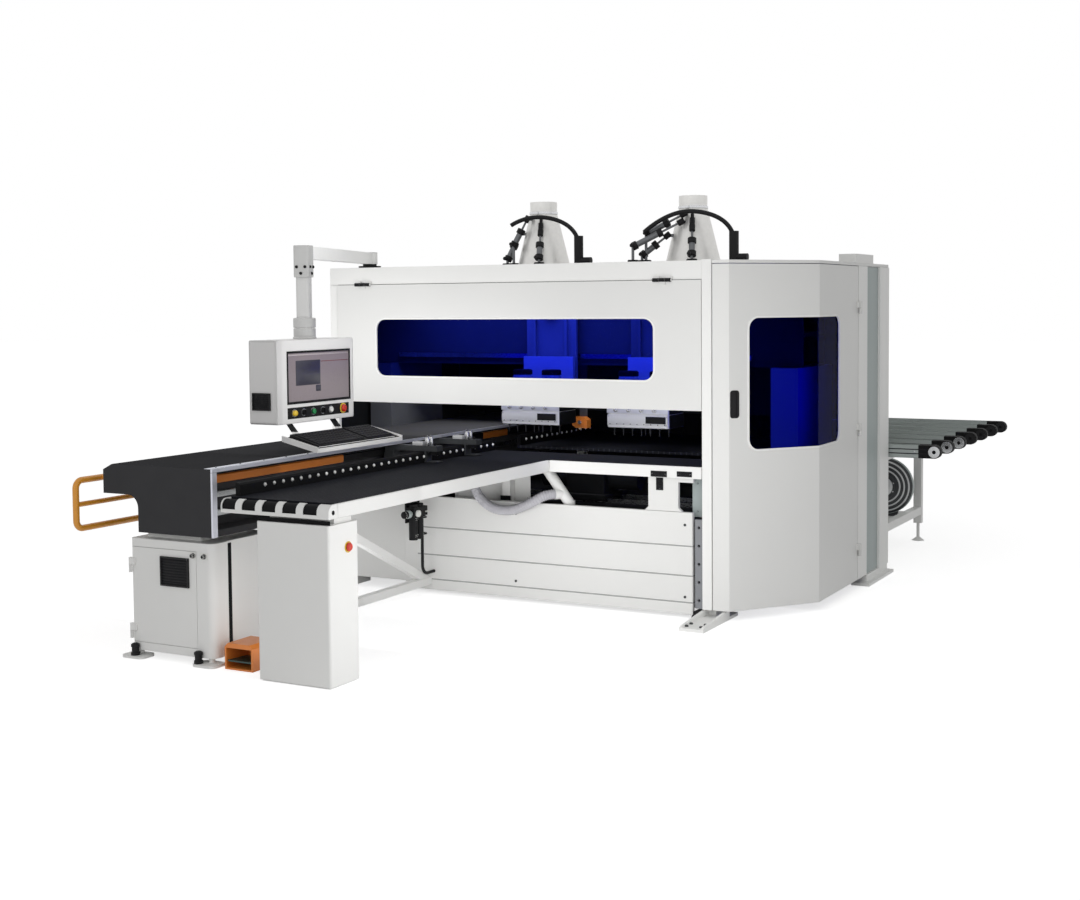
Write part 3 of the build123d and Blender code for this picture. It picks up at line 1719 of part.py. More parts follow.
with BuildPart(datum) as foot_pedal:
    with BuildSketch(facing_right(pedal_left + pedal_wall + pedal_gap)):
        with BuildLine():
            Polyline(
                (pedal_front + pedal_gap, pedal_pin_height + 2 * pedal_plate),
                (pedal_pin_y, pedal_pin_height + pedal_plate),
                (pedal_pin_y + pedal_plate, pedal_pin_height),
                (pedal_pin_y, pedal_pin_height - pedal_plate),
                (pedal_pin_y - 2 * pedal_plate, pedal_pin_height),
                (pedal_front + pedal_gap, pedal_pin_height + pedal_plate),
                close=True,
            )
        make_face()
        with Locations((pedal_pin_y, pedal_pin_height)):
            Circle(pedal_pin_radius + running_gap, mode=Mode.SUBTRACT)
    extrude(amount=pedal_width - 2 * pedal_wall - 2 * pedal_gap)
write_node(foot_pedal, "foot_pedal")

# Dust cones on the roof
hood_top = enclosure_height + hood_cone_height
with BuildPart(datum) as dust_cones:
    for hood in hood_x:
        hood_plane = Plane(origin=(hood - middle_x, hood_y - middle_y, 0), x_dir=(1, 0, 0), z_dir=(0, -1, 0))
        with BuildSketch(hood_plane):
            with BuildLine():
                Polyline(
                    (hood_base_radius, enclosure_height),
                    (hood_base_radius + hood_flange, enclosure_height),
                    (hood_base_radius + hood_flange, enclosure_height + hood_wall),
                    (hood_base_radius, enclosure_height + hood_wall),
                    (hood_spigot_radius, hood_top),
                    (hood_spigot_radius, hood_top + spigot_length),
                    (hood_spigot_radius - hood_wall, hood_top + spigot_length),
                    (hood_spigot_radius - hood_wall, hood_top),
                    (hood_base_radius - hood_wall, enclosure_height),
                    close=True,
                )
            make_face()
        revolve(axis=Axis((hood - middle_x, hood_y - middle_y, 0), (0, 0, 1)))
write_node(dust_cones, "dust_cones")

# Gate cylinders leaning on the cones
def round_hood(hood, angle, reach, lift):
    """Plan point round a dust cone's axis, at a height over the roof."""
    turn = math.radians(angle)
    return Vector(hood + reach * math.cos(turn), hood_y + reach * math.sin(turn), enclosure_height + lift)


with BuildPart(datum) as gate_cylinders:
    for place, hood in enumerate(hood_x):
        for number, head_angle in enumerate(gate_heads[place]):
            rise = gate_rises[place][number]
            head_lift = hood_cone_height * rise
            wall_reach = hood_base_radius - (hood_base_radius - hood_spigot_radius) * rise - hood_wall / 4
            wall_point = round_hood(hood, head_angle, wall_reach, head_lift)
            head_point = round_hood(hood, head_angle, wall_reach + 2 * gate_barrel_radius, head_lift)
            foot_point = round_hood(
                hood, gate_feet[place][number], gate_reaches[place][number], gate_lifts[place][number]
            )
            barrel_end = foot_point + (head_point - foot_point) * gate_barrel_share
            rod(tuple(foot_point), tuple(barrel_end), gate_barrel_radius)
            rod(tuple(foot_point), tuple(head_point), gate_rod_radius)
            rod(tuple(head_point), tuple(wall_point), gate_rod_radius * 1.5)
            roof_point = (foot_point.X, foot_point.Y, enclosure_height)
            rod(roof_point, tuple(foot_point), gate_post_radius)
            with Locations(roof_point):
                Cylinder(gate_barrel_radius, hood_wall, align=(Align.CENTER, Align.CENTER, Align.MIN))
    for cone in dust_cones.part.solids():
        cut_away(cone)
write_node(gate_cylinders, "gate_cylinders")

# Black conduits that loop over the cones into roof sleeves
with BuildPart(datum) as hood_conduits:
    for place, hood in enumerate(hood_x):
        sleeve_x = hood + conduit_points[-1][0]
        sleeve_y = hood_y + conduit_points[-1][1]
        with BuildLine(datum) as conduit_path:
            Spline(
                *[
                    (hood + along, hood_y + across, enclosure_height + lift)
                    for along, across, lift in conduit_points[1 - place :]
                ]
            )
        with BuildSketch(Plane(origin=conduit_path.line @ 0, z_dir=conduit_path.line % 0)):
            Circle(conduit_radius)
        sweep(path=conduit_path.line)
        rod(
            (sleeve_x, sleeve_y, enclosure_height),
            (sleeve_x, sleeve_y, enclosure_height + sleeve_height),
            sleeve_radius,
        )
        rod(
            (sleeve_x, sleeve_y, enclosure_height + conduit_radius * 2),
            (sleeve_x + 3 * sleeve_radius, sleeve_y, enclosure_height + conduit_radius * 2),
            conduit_radius * 1.6,
        )
write_node(hood_conduits, "hood_conduits")

# Upper drilling heads: carriage, drilling block and bits
z_rail_back = carriage_front
z_rail_front = z_rail_back - rail_height
block_back = z_rail_front - 2 * slide_gap
head_back = block_back - head_plate
head_front = head_back - head_depth
carriage_top = upper_rail_z[1] + bearing_height / 2
head_top = head_bottom + head_height
block_top = head_top + 300
spindle_y = head_front + spindle_pitch
z_slot_half = z_rail_width / 2 + slide_gap
for place, side in enumerate(("left", "right")):
    centre = head_x[place]
    spindle_first = centre - (spindle_row - 1) / 2 * spindle_pitch
    spindle_places = [(spindle_first + step * spindle_pitch, spindle_y) for step in range(spindle_row)]
    spindle_places += [(centre, spindle_y + (step + 1) * spindle_pitch) for step in range(spindle_stem)]
    with BuildPart(datum) as head_carriage:
        block(
            (centre - carriage_half, centre + carriage_half),
            (carriage_front, carriage_front + carriage_plate),
            (carriage_bottom, carriage_top),
        )
        for height in upper_rail_z:
            for shift in (-bearing_spacing / 2, bearing_spacing / 2):
                block(
                    (centre + shift - bearing_length / 2, centre + shift + bearing_length / 2),
                    (carriage_front + carriage_plate, crossbeam_front - leaf),
                    (height - bearing_height / 2, height + bearing_height / 2),
                )
            block(
                (centre - carriage_half, centre + carriage_half),
                (rail_face - slide_gap, crossbeam_front),
                (height - rail_width / 2 - slide_gap, height + rail_width / 2 + slide_gap),
                mode=Mode.SUBTRACT,
            )
        for shift in (-z_rail_offset, z_rail_offset):
            block(
                (centre + shift - z_rail_width / 2, centre + shift + z_rail_width / 2),
                (z_rail_front, z_rail_back),
                (carriage_bottom, carriage_top - servo_size),
            )
        block(
            (centre - servo_size / 2, centre + servo_size / 2),
            (carriage_front - servo_size, carriage_front),
            (carriage_top - servo_size / 2, carriage_top + servo_size),
        )
    write_node(head_carriage, f"{side}_head_carriage")

    with BuildPart(datum) as drill_block:
        with BuildSketch(level(head_bottom)):
            with Locations((centre, (head_front + head_back) / 2)):
                RectangleRounded(2 * head_half, head_back - head_front, head_plate)
        extrude(amount=head_height)
        chamfer(drill_block.faces().sort_by(Axis.Z)[0].outer_wire().edges(), length=head_groove)
        with BuildSketch(level(head_bottom + head_height * 0.6)):
            with Locations((centre, (head_front + head_back) / 2)):
                Rectangle(2 * head_half, head_back - head_front)
                RectangleRounded(
                    2 * head_half - 2 * head_groove,
                    head_back - head_front - 2 * head_groove,
                    head_plate - head_groove,
                    mode=Mode.SUBTRACT,
                )
        extrude(amount=head_groove, mode=Mode.SUBTRACT)
        block(
            (centre - carriage_half, centre + carriage_half),
            (block_back - head_plate, block_back),
            (head_bottom + head_height / 3, block_top),
        )
        for shift in (-z_rail_offset, z_rail_offset):
            block(
                (centre + shift - 1.5 * z_rail_width, centre + shift + 1.5 * z_rail_width),
                (block_back, z_rail_back - leaf),
                (carriage_bottom + 2 * servo_size, block_top),
            )
            block(
                (centre + shift - z_slot_half, centre + shift + z_slot_half),
                (block_back, z_rail_back),
                (head_top, block_top),
                mode=Mode.SUBTRACT,
            )
        for shift in (-head_half / 2, head_half / 2):
            with Locations((centre + shift, (head_front + head_back) / 2 - head_plate, head_top)):
                Cylinder(motor_radius, motor_height, align=(Align.CENTER, Align.CENTER, Align.MIN))
                Cylinder(
                    motor_radius + head_groove,
                    motor_height / 8,
                    align=(Align.CENTER, Align.CENTER, Align.MIN),
                )
            block(
                (centre + shift - motor_radius / 2, centre + shift + motor_radius / 2),
                (head_front + head_plate / 2, head_front + head_depth / 4),
                (head_top + motor_height / 3, head_top + motor_height * 2 / 3),
            )
        with BuildSketch(level(head_bottom)):
            with Locations(*spindle_places):
                Circle(spindle_radius + running_gap)
        extrude(amount=spindle_length + bit_tip, mode=Mode.SUBTRACT)
    write_node(drill_block, f"{side}_drill_block")

    with BuildPart(datum) as drill_bits:
        with BuildSketch(level(head_bottom - spindle_nose)):
            with Locations(*spindle_places):
                Circle(spindle_radius)
        extrude(amount=spindle_length + spindle_nose)
        with BuildSketch(level(head_bottom)):
            with Locations(*spindle_places):
                Circle(bit_radius)
        extrude(amount=-(bit_length - bit_tip))
        with Locations((0, 0, head_bottom - bit_length + bit_tip)):
            with Locations(*spindle_places):
                Cone(0.5, bit_radius, bit_tip, align=(Align.CENTER, Align.CENTER, Align.MAX))
    write_node(drill_bits, f"{side}_drill_bits")

# Lower drilling head on the base, and its bits
lower_plate_bottom = base_top + rail_height + slide_gap
lower_block_bottom = lower_plate_bottom + lower_plate
lower_block_top = lower_block_bottom + lower_block_height
lower_middle_y = sum(lower_rail_y) / 2
lower_span = (lower_rail_y[0] - 2 * rail_width, lower_rail_y[1] + 2 * rail_width)
with BuildPart(datum) as lower_head:
    block(
        (lower_head_x - lower_half, lower_head_x + lower_half),
        lower_span,
        (lower_plate_bottom, lower_block_bottom),
    )
    for along in lower_rail_y:
        block(
            (lower_head_x - lower_half, lower_head_x + lower_half),
            (along - rail_width, along + rail_width),
            (base_top + leaf, lower_plate_bottom),
        )
        block(
            (lower_head_x - lower_half, lower_head_x + lower_half),
            (along - rail_width / 2 - slide_gap, along + rail_width / 2 + slide_gap),
            (base_top, lower_plate_bottom),
            mode=Mode.SUBTRACT,
        )
    with BuildSketch(level(lower_block_bottom)):
        with Locations((lower_head_x, lower_middle_y)):
            RectangleRounded(2 * lower_block_half, lower_rail_y[1] - lower_rail_y[0], head_plate / 2)
    extrude(amount=lower_block_height)
    motor_z = lower_block_bottom + motor_radius + rail_height
    for direction in (-1, 1):
        rod(
            (lower_head_x + direction * (lower_block_half - leaf), lower_middle_y, motor_z),
            (lower_head_x + direction * (lower_block_half + motor_height), lower_middle_y, motor_z),
            motor_radius,
        )
    with BuildSketch(level(lower_block_top)):
        with Locations((lower_head_x, lower_middle_y)):
            with GridLocations(spindle_pitch * 0.8, 1, lower_spindles, 1):
                Circle(spindle_radius + running_gap)
    extrude(amount=-(spindle_length + bit_tip), mode=Mode.SUBTRACT)
write_node(lower_head, "lower_head")

with BuildPart(datum) as lower_drill_bits:
    with BuildSketch(level(lower_block_top)):
        with Locations((lower_head_x, lower_middle_y)):
            with GridLocations(spindle_pitch * 0.8, 1, lower_spindles, 1):
                Circle(spindle_radius)
    extrude(amount=-spindle_length)
    with BuildSketch(level(lower_block_top)):
        with Locations((lower_head_x, lower_middle_y)):
            with GridLocations(spindle_pitch * 0.8, 1, lower_spindles, 1):
                Circle(bit_radius)
    extrude(amount=bit_length - bit_tip)
    with Locations((lower_head_x, lower_middle_y, lower_block_top + bit_length - bit_tip)):
        with GridLocations(spindle_pitch * 0.8, 1, lower_spindles, 1):
            Cone(bit_radius, 0.5, bit_tip, align=(Align.CENTER, Align.CENTER, Align.MIN))
write_node(lower_drill_bits, "lower_drill_bits")

# Outfeed: bars with cheeks, belts, idlers and the drive shaft
belt_outer = pulley_radius + belt_gap + belt_thickness
right_axis_x = belt_right - belt_outer
left_axis_x = belt_left + belt_outer
belt_span = right_axis_x - left_axis_x
belt_middle_x = (left_axis_x + right_axis_x) / 2
belt_places = [belt_first + place * belt_pitch for place in range(belt_count)]
channel_half = bar_half - cheek + slide_gap
idler_pin_radius = 10
drive_shaft_radius = 12
with BuildPart(datum) as outfeed_frame:
    for along in belt_places:
        with BuildSketch(facing_front(along + bar_half)):
            with Locations((belt_middle_x, belt_height)):
                SlotOverall(belt_span + 2 * cheek_radius, 2 * cheek_radius)
        extrude(amount=2 * bar_half)
        block(
            (belt_left, belt_right),
            (along - channel_half, along + channel_half),
            (belt_height - 2 * cheek_radius, belt_height + 2 * cheek_radius),
            mode=Mode.SUBTRACT,
        )
        block(
            (left_axis_x + 1.2 * pulley_radius, right_axis_x - 1.2 * pulley_radius),
            (along - channel_half, along + channel_half),
            (belt_height - pulley_radius + 1, belt_height + pulley_radius - 1),
        )
        for support in outfeed_rail_x:
            for shift in (-bar_half, bar_half - cheek + 2 * slide_gap):
                block(
                    (support - outfeed_tube / 2, support + outfeed_tube / 2),
                    (along + shift, along + shift + cheek - 2 * slide_gap),
                    (outfeed_rail_top, belt_height),
                )
        rod(
            (right_axis_x, along - bar_half, belt_height),
            (right_axis_x, along + bar_half, belt_height),
            idler_pin_radius + running_gap,
            mode=Mode.SUBTRACT,
        )
        rod(
            (left_axis_x, along - bar_half, belt_height),
            (left_axis_x, along + bar_half, belt_height),
            drive_shaft_radius + running_gap,
            mode=Mode.SUBTRACT,
        )
write_node(outfeed_frame, "outfeed_frame")

with BuildPart(datum) as outfeed_belts:
    for along in belt_places:
        with BuildSketch(facing_front(along + belt_width / 2)):
            with Locations((belt_middle_x, belt_height)):
                SlotOverall(belt_span + 2 * belt_outer, 2 * belt_outer)
                SlotOverall(
                    belt_span + 2 * (belt_outer - belt_thickness),
                    2 * (belt_outer - belt_thickness),
                    mode=Mode.SUBTRACT,
                )
        extrude(amount=belt_width)
write_node(outfeed_belts, "outfeed_belts")

with BuildPart(datum) as outfeed_idlers:
    for along in belt_places:
        rod(
            (right_axis_x, along - belt_width / 2 + knuckle_gap, belt_height),
            (right_axis_x, along + belt_width / 2 - knuckle_gap, belt_height),
            pulley_radius,
        )
        rod(
            (right_axis_x, along - bar_half, belt_height),
            (right_axis_x, along + bar_half, belt_height),
            idler_pin_radius,
        )
write_node(outfeed_idlers, "outfeed_idlers")

with BuildPart(datum) as outfeed_drive_shaft:
    for along in belt_places:
        rod(
            (left_axis_x, along - belt_width / 2 + knuckle_gap, belt_height),
            (left_axis_x, along + belt_width / 2 - knuckle_gap, belt_height),
            pulley_radius,
        )
    rod(
        (left_axis_x, belt_places[0] - bar_half, belt_height),
        (left_axis_x, back_reach, belt_height),
        drive_shaft_radius,
    )
write_node(outfeed_drive_shaft, "outfeed_drive_shaft")

# Ring blower on the outfeed shelf
shelf_top = lower_tube_z[0] + foot_pad
blower_z = shelf_top + blower_radius + 20
with BuildPart(datum) as ring_blower:
    with BuildSketch(facing_right(blower_x)):
        with BuildLine():
            hub_radius = blower_radius * 0.45
            rim = blower_radius - blower_depth / 4
            face_edge = Polyline(
                (blower_y, blower_z),
                (blower_y - blower_depth / 2, blower_z),
                (blower_y - blower_depth / 2, blower_z + hub_radius),
                (blower_y - blower_depth / 3, blower_z + hub_radius),
                (blower_y - blower_depth / 4, blower_z + rim),
            )
            Polyline(
                face_edge @ 1,
                (blower_y - blower_depth / 8, blower_z + blower_radius),
                (blower_y + blower_depth / 8, blower_z + blower_radius),
                (blower_y + blower_depth / 4, blower_z + rim),
                (blower_y + blower_depth / 3, blower_z + hub_radius),
                (blower_y + 1.6 * blower_depth, blower_z + hub_radius),
                (blower_y + 1.6 * blower_depth, blower_z),
                (blower_y, blower_z),
            )
        make_face()
    revolve(axis=Axis((blower_x - middle_x, 0, blower_z), (0, 1, 0)))
    block(
        (blower_x - hub_radius, blower_x + hub_radius),
        (blower_y - blower_depth / 8, blower_y + blower_depth / 8),
        (shelf_top, blower_z),
    )
write_node(ring_blower, "ring_blower")

# Feet: outriggers, base pads, control cabinet feet, outfeed legs
with BuildPart(datum) as floor_feet:
    for foot_left in (post_left - 8, -left_trim):
        block(
            (foot_left, foot_left + foot_width),
            (base_front - foot_reach - sheet, base_front + foot_under),
            (0, foot_plate),
        )
        block(
            (foot_left, min(foot_left + foot_width, base_right)),
            (base_front + 2 * foot_web, base_front + foot_under),
            (foot_plate, enclosure_lift),
        )
        for web_left in (foot_left, foot_left + foot_width - foot_web):
            with BuildSketch(facing_right(web_left)):
                with BuildLine():
                    Polyline(
                        (base_front - foot_reach - sheet, foot_plate),
                        (base_front + 2 * foot_web, foot_plate),
                        (base_front + 2 * foot_web, enclosure_lift - seam),
                        (base_front - foot_reach, foot_plate + foot_web / 2),
                        close=True,
                    )
                make_face()
            extrude(amount=foot_web)
    for foot_left in (end_x - foot_width / 2, left_reach):
        block(
            (foot_left, foot_left + foot_width * 0.8),
            (stripe_front - 100, enclosure_depth),
            (0, foot_plate),
        )
        block(
            (foot_left, foot_left + foot_width / 2 + stripe_depth),
            (stripe_front - 20, enclosure_depth - sheet),
            (foot_plate, enclosure_lift),
        )
    for pad_left in (portal_left, portal_right - foot_width):
        block((pad_left, pad_left + foot_width), (base_back - foot_under, base_back), (0, enclosure_lift))
    for foot_x in (control_left + 30, control_right - 50):
        for foot_y in (control_front + 35, control_back - 60):
            with BuildSketch(level(0)):
                with Locations((foot_x, foot_y - 25)):
                    RectangleRounded(150, 120, 30)
            extrude(amount=foot_pad)
            rod((foot_x, foot_y, foot_pad), (foot_x, foot_y, control_bottom), foot_stem_radius * 1.4)
    leg_places = [(outfeed_leg_x, outfeed_leg_y)]
    for support in outfeed_rail_x[:2]:
        for reach in inner_leg_reaches:
            leg_places.append((support, belt_first + reach))
    for leg_x, leg_y in leg_places:
        with Locations((leg_x, leg_y, 0)):
            Cone(
                foot_pad_radius,
                foot_stem_radius,
                2 * foot_pad,
                align=(Align.CENTER, Align.CENTER, Align.MIN),
            )
        rod((leg_x, leg_y, foot_pad), (leg_x, leg_y, foot_stem), foot_stem_radius)
        block(
            (leg_x - outfeed_tube / 2, leg_x + outfeed_tube / 2),
            (leg_y - outfeed_tube / 2, leg_y + outfeed_tube / 2),
            (foot_stem, outfeed_rail_bottom),
        )
write_node(floor_feet, "floor_feet")

# Air service unit under the beam, with its hose along the stand
air_x = stand_x + stand_tube / 2
air_y = -190
air_drop = 84
air_top = beam_bottom - air_drop
air_outlet = 150
with BuildPart(datum) as air_unit:
    block((air_x - 20, air_x - 10), (air_y - 90, air_y + 70), (air_top - 100, beam_bottom))
    block((air_x - 10, air_x + 50), (air_y - 90, air_y + 70), (air_top - 60, air_top))
    for shift in (-55, 15):
        bowl_y = air_y + shift
        rod((air_x + 20, bowl_y, air_top - 210), (air_x + 20, bowl_y, air_top + 20), air_bowl_radius)
    with BuildLine(datum) as air_path:
        FilletPolyline(
            (air_x + 20, air_y + 50, air_top - 60),
            (air_x + 20, air_y + 50, air_outlet),
            (air_x + 20, 0, air_outlet),
            radius=6 * air_hose_radius,
        )
    with BuildSketch(Plane(origin=air_path.line @ 0, z_dir=air_path.line % 0)):
        Circle(air_hose_radius)
    sweep(path=air_path.line)
write_node(air_unit, "air_unit")

# Suction hose hanging from the table to the suction duct
hose_points = [
    (hose_port_x, hose_y, table_bottom - hose_spigot),
    (hose_port_x, hose_y, table_bottom - 145),
    (hose_port_x + 60, hose_y - 2, table_bottom - 250),
    (hose_port_x + 165, hose_y - 4, table_bottom - 308),
    (hose_port_x + 290, hose_y - 6, table_bottom - 308),
    (port_mouth.X - 169, hose_y - 6, port_mouth.Z - 75),
    (port_mouth.X - 94, hose_y + 2, port_mouth.Z - 38),
    tuple(port_mouth - port_way * duct_port_reach),
    tuple(port_mouth),
]
hose_radii = []
for before, here, after in zip(hose_points, hose_points[1:], hose_points[2:]):
    first_run = Vector(*here) - Vector(*before)
    second_run = Vector(*after) - Vector(*here)
    half_turn = math.radians(first_run.get_angle(second_run)) / 2
    hose_radii.append(0.45 * min(first_run.length, second_run.length) / math.tan(half_turn))
print("hose radii", [round(radius) for radius in hose_radii])
with BuildPart(datum) as suction_hose:
    with BuildLine(datum) as hose_path:
        FilletPolyline(*hose_points, radius=hose_radii)
    with BuildSketch(Plane(origin=hose_path.line @ 0, z_dir=hose_path.line % 0)):
        Circle(hose_radius)
    sweep(path=hose_path.line)
hose_length = sum(edge.length for edge in hose_path.edges())
print("hose length", round(hose_length))
print("hose volume", round(suction_hose.part.volume / (math.pi * hose_radius**2 * hose_length), 4))
write_node(suction_hose, "suction_hose")
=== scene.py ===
import math

import bmesh
import bpy
from mathutils import Matrix, Vector


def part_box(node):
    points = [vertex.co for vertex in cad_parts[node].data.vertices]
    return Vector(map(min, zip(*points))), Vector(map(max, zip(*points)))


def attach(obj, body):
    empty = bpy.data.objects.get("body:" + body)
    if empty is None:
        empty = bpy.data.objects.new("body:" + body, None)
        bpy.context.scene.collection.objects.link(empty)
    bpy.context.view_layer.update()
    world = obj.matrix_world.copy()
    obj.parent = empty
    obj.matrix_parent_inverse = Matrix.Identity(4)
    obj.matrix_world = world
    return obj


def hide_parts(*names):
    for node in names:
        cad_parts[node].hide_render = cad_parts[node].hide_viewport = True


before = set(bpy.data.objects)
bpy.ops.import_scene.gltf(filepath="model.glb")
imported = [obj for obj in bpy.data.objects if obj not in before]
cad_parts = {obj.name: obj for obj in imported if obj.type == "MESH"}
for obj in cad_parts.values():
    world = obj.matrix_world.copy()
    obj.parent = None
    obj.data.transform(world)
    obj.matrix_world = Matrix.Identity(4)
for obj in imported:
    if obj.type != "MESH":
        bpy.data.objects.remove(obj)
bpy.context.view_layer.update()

bl_info = {
    "name": "Panel drilling machine",
    "version": (1, 0, 0),
    "blender": (4, 5, 0),
    "location": "3D View > Sidebar > Drilling",
    "description": "Dresses a through-feed panel drilling machine and sets it on a pale studio floor",
    "category": "Object",
}

# Plan places are in millimetres: x and y from the enclosure's left front corner, z from the floor.
PLAN_X = 1630
PLAN_Y = 1051
MM = 1000

# Ways that faces and axes look.
RIGHT, LEFT = (1, 0, 0), (-1, 0, 0)
BACK, FRONT = (0, 1, 0), (0, -1, 0)
UP, DOWN = (0, 0, 1), (0, 0, -1)

# Places that several pieces share.
ROOF_TOP = 2150
HOOD_Y = 600
TABLE_TOP = 918
REAR_FACE = 2070
LEFT_FACE = -300
CONSOLE_FACE = 690
BUTTON_ROW = 1284
STOP_Y = -917
ARM_DROP = (590, -1150)

# Folds of the end door in plan, and the way its slanted face looks.
DOOR_FOLD = Vector((2810, 0, 0))
DOOR_EDGE = Vector((3197, 515, 0))
DOOR_CHAMFER = (DOOR_EDGE - DOOR_FOLD).length
DOOR_RUN = (DOOR_EDGE - DOOR_FOLD).normalized()
DOOR_OUT = Vector((DOOR_RUN.y, -DOOR_RUN.x, 0))
END_OUT = Vector(RIGHT)

# Angles between faces, in radians, from which an edge is bevelled or shaded sharp.
BEVEL_ANGLE = 0.7
SHARP_ANGLE = 0.6

# Socket-head screw: height and radius as shares of the head's radius.
SCREW_HEAD = ((0, 1), (0.5, 1), (0.8, 0.82), (0.8, 0.5), (0.4, 0.46), (0.4, 0.02))

finishes = {}


def spot(point):
    """Plan millimetres to metres in the shared frame."""
    return Vector(((point[0] - PLAN_X) / MM, (point[1] - PLAN_Y) / MM, point[2] / MM))


def linear(code):
    """sRGB hex colour to linear red, green and blue."""
    channels = [int(code[place : place + 2], 16) / 255 for place in (1, 3, 5)]
    return [c / 12.92 if c <= 0.04045 else ((c + 0.055) / 1.055) ** 2.4 for c in channels]


def shade(colour, factor=1):
    """Colour socket value of a hex code or a linear colour, darker or lighter by a factor."""
    channels = linear(colour) if isinstance(colour, str) else colour
    return [min(1.0, channel * factor) for channel in channels[:3]] + [1.0]


def circles(start, along, profile, sides):
    """Rings of points round an axis, for pairs of distance along it and radius."""
    axis = Vector(along).normalized()
    facing = axis.to_track_quat("Z", "Y")
    rings = []
    for distance, radius in profile:
        middle = Vector(start) + axis * distance
        ring = []
        for place in range(sides):
            angle = 2 * math.pi * place / sides
            ring.append(middle + facing @ Vector((math.cos(angle) * radius, math.sin(angle) * radius, 0)))
        rings.append(ring)
    return rings


def rounded(middle, width, height, radius, steps=8):
    """Rounded rectangle as pairs of coordinates round a middle."""
    points = []
    for side_x, side_y, first in ((1, 1, 0), (-1, 1, 90), (-1, -1, 180), (1, -1, 270)):
        for step in range(steps + 1):
            angle = math.radians(first + 90 * step / steps)
            points.append((
                middle[0] + side_x * (width / 2 - radius) + radius * math.cos(angle),
                middle[1] + side_y * (height / 2 - radius) + radius * math.sin(angle),
            ))
    return points


def on_door(along, height, lift):
    """Point on the end door's outside: along it from the front fold, up, and out from the face."""
    near = 0.01
    if along < DOOR_CHAMFER - near:
        base = DOOR_FOLD + DOOR_RUN * along + DOOR_OUT * lift
    elif along > DOOR_CHAMFER + near:
        base = DOOR_EDGE + Vector((0, along - DOOR_CHAMFER, 0)) + END_OUT * lift
    else:
        out = (DOOR_OUT + END_OUT) / (1 + DOOR_OUT.dot(END_OUT))
        base = DOOR_EDGE + out * lift
    return base + Vector((0, 0, height))


def add_piece(name, mesh, names):
    """Object with a finished mesh and its finishes."""
    data = bpy.data.meshes.new(name)
    mesh.to_mesh(data)
    mesh.free()
    for finish in names:
        data.materials.append(finishes[finish])
    piece = bpy.data.objects.new(name, data)
    bpy.context.scene.collection.objects.link(piece)
    return piece


class Shape:
    """Mesh of one piece, drawn in plan millimetres or in a turned frame of its own."""

    def __init__(self, turn=None):
        self.mesh = bmesh.new()
        self.turn = turn or Matrix.Identity(4)

    def skin(self, rings, finish=0, closed=False):
        """Skin between rings with equal numbers of points, with end caps unless it closes on itself."""
        rows = [[self.mesh.verts.new(self.turn @ Vector(point)) for point in ring] for ring in rings]
        pairs = list(zip(rows, rows[1:]))
        if closed:
            pairs.append((rows[-1], rows[0]))
        faces = []
        for low, high in pairs:
            for place in range(len(low)):
                after = (place + 1) % len(low)
                faces.append(self.mesh.faces.new((low[place], low[after], high[after], high[place])))
        if not closed:
            faces.append(self.mesh.faces.new(rows[0][::-1]))
            faces.append(self.mesh.faces.new(rows[-1]))
        for face in faces:
            face.material_index = finish

    def block(self, x, y, z, finish=0):
        """Block between pairs of coordinates."""
        corners = ((x[0], y[0]), (x[1], y[0]), (x[1], y[1]), (x[0], y[1]))
        self.skin([[(*corner, height) for corner in corners] for height in z], finish)

    def bars(self, x, y, z, rim):
        """Four bars round an opening that looks along Y."""
        for side in ((x[0], x[0] + rim), (x[1] - rim, x[1])):
            self.block(side, y, z)
        for side in ((z[0], z[0] + rim), (z[1] - rim, z[1])):
            self.block((x[0] + rim, x[1] - rim), y, side)

    def prism(self, outline, push, finish=0):
        """Flat outline of points, thickened by a vector."""
        self.skin([outline, [Vector(point) + Vector(push) for point in outline]], finish)

    def turned(self, start, along, profile, finish=0, sides=24):
        """Turned form: pairs of distance along an axis and radius."""
        self.skin(circles(start, along, profile, sides), finish)

    def sleeve(self, start, along, inner, outer, length, finish=0, sides=24):
        """Turned ring with a hole, its outer rims softened."""
        soft = min(outer - inner, length) / 4
        profile = (
            (0, inner), (0, outer - soft), (soft, outer),
            (length - soft, outer), (length, outer - soft), (length, inner),
        )
        self.skin(circles(start, along, profile, sides), finish, closed=True)

    def screws(self, points, along, radius, finish=0):
        """Socket-head screws that stand on a face."""
        profile = [(height * radius, share * radius) for height, share in SCREW_HEAD]
        for point in points:
            self.turned(point, along, profile, finish, sides=12)

    def place(self, name, body, names, bevel=0.0):
        """Finish the mesh, soften its edges and let it ride on a body."""
        mesh = self.mesh
        bmesh.ops.recalc_face_normals(mesh, faces=mesh.faces[:])
        if bevel:
            sharp = [edge for edge in mesh.edges if edge.calc_face_angle(0) > BEVEL_ANGLE]
            bmesh.ops.bevel(
                mesh, geom=sharp, offset=bevel, segments=2, profile=0.7, affect="EDGES", clamp_overlap=True
            )
        for vertex in mesh.verts:
            vertex.co = spot(vertex.co)
        for face in mesh.faces:
            face.smooth = True
        for edge in mesh.edges:
            edge.smooth = edge.calc_face_angle(0) < SHARP_ANGLE
        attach(add_piece(name, mesh, names), body)


def add_node(tree, kind, sockets=None, **settings):
    """Add one node with its settings, its socket values and the links into it."""
    node = tree.nodes.new(kind)
    for name, value in settings.items():
        setattr(node, name, value)
    for name, value in (sockets or {}).items():
        if isinstance(value, bpy.types.NodeSocket):
            tree.links.new(value, node.inputs[name])
        else:
            node.inputs[name].default_value = value
    return node


def new_finish(name):
    """Empty material with its output node."""
    material = bpy.data.materials.new(name)
    material.use_nodes = True
    material.node_tree.nodes.clear()
    output = add_node(material.node_tree, "ShaderNodeOutputMaterial")
    finishes[name] = material
    return material.node_tree, output


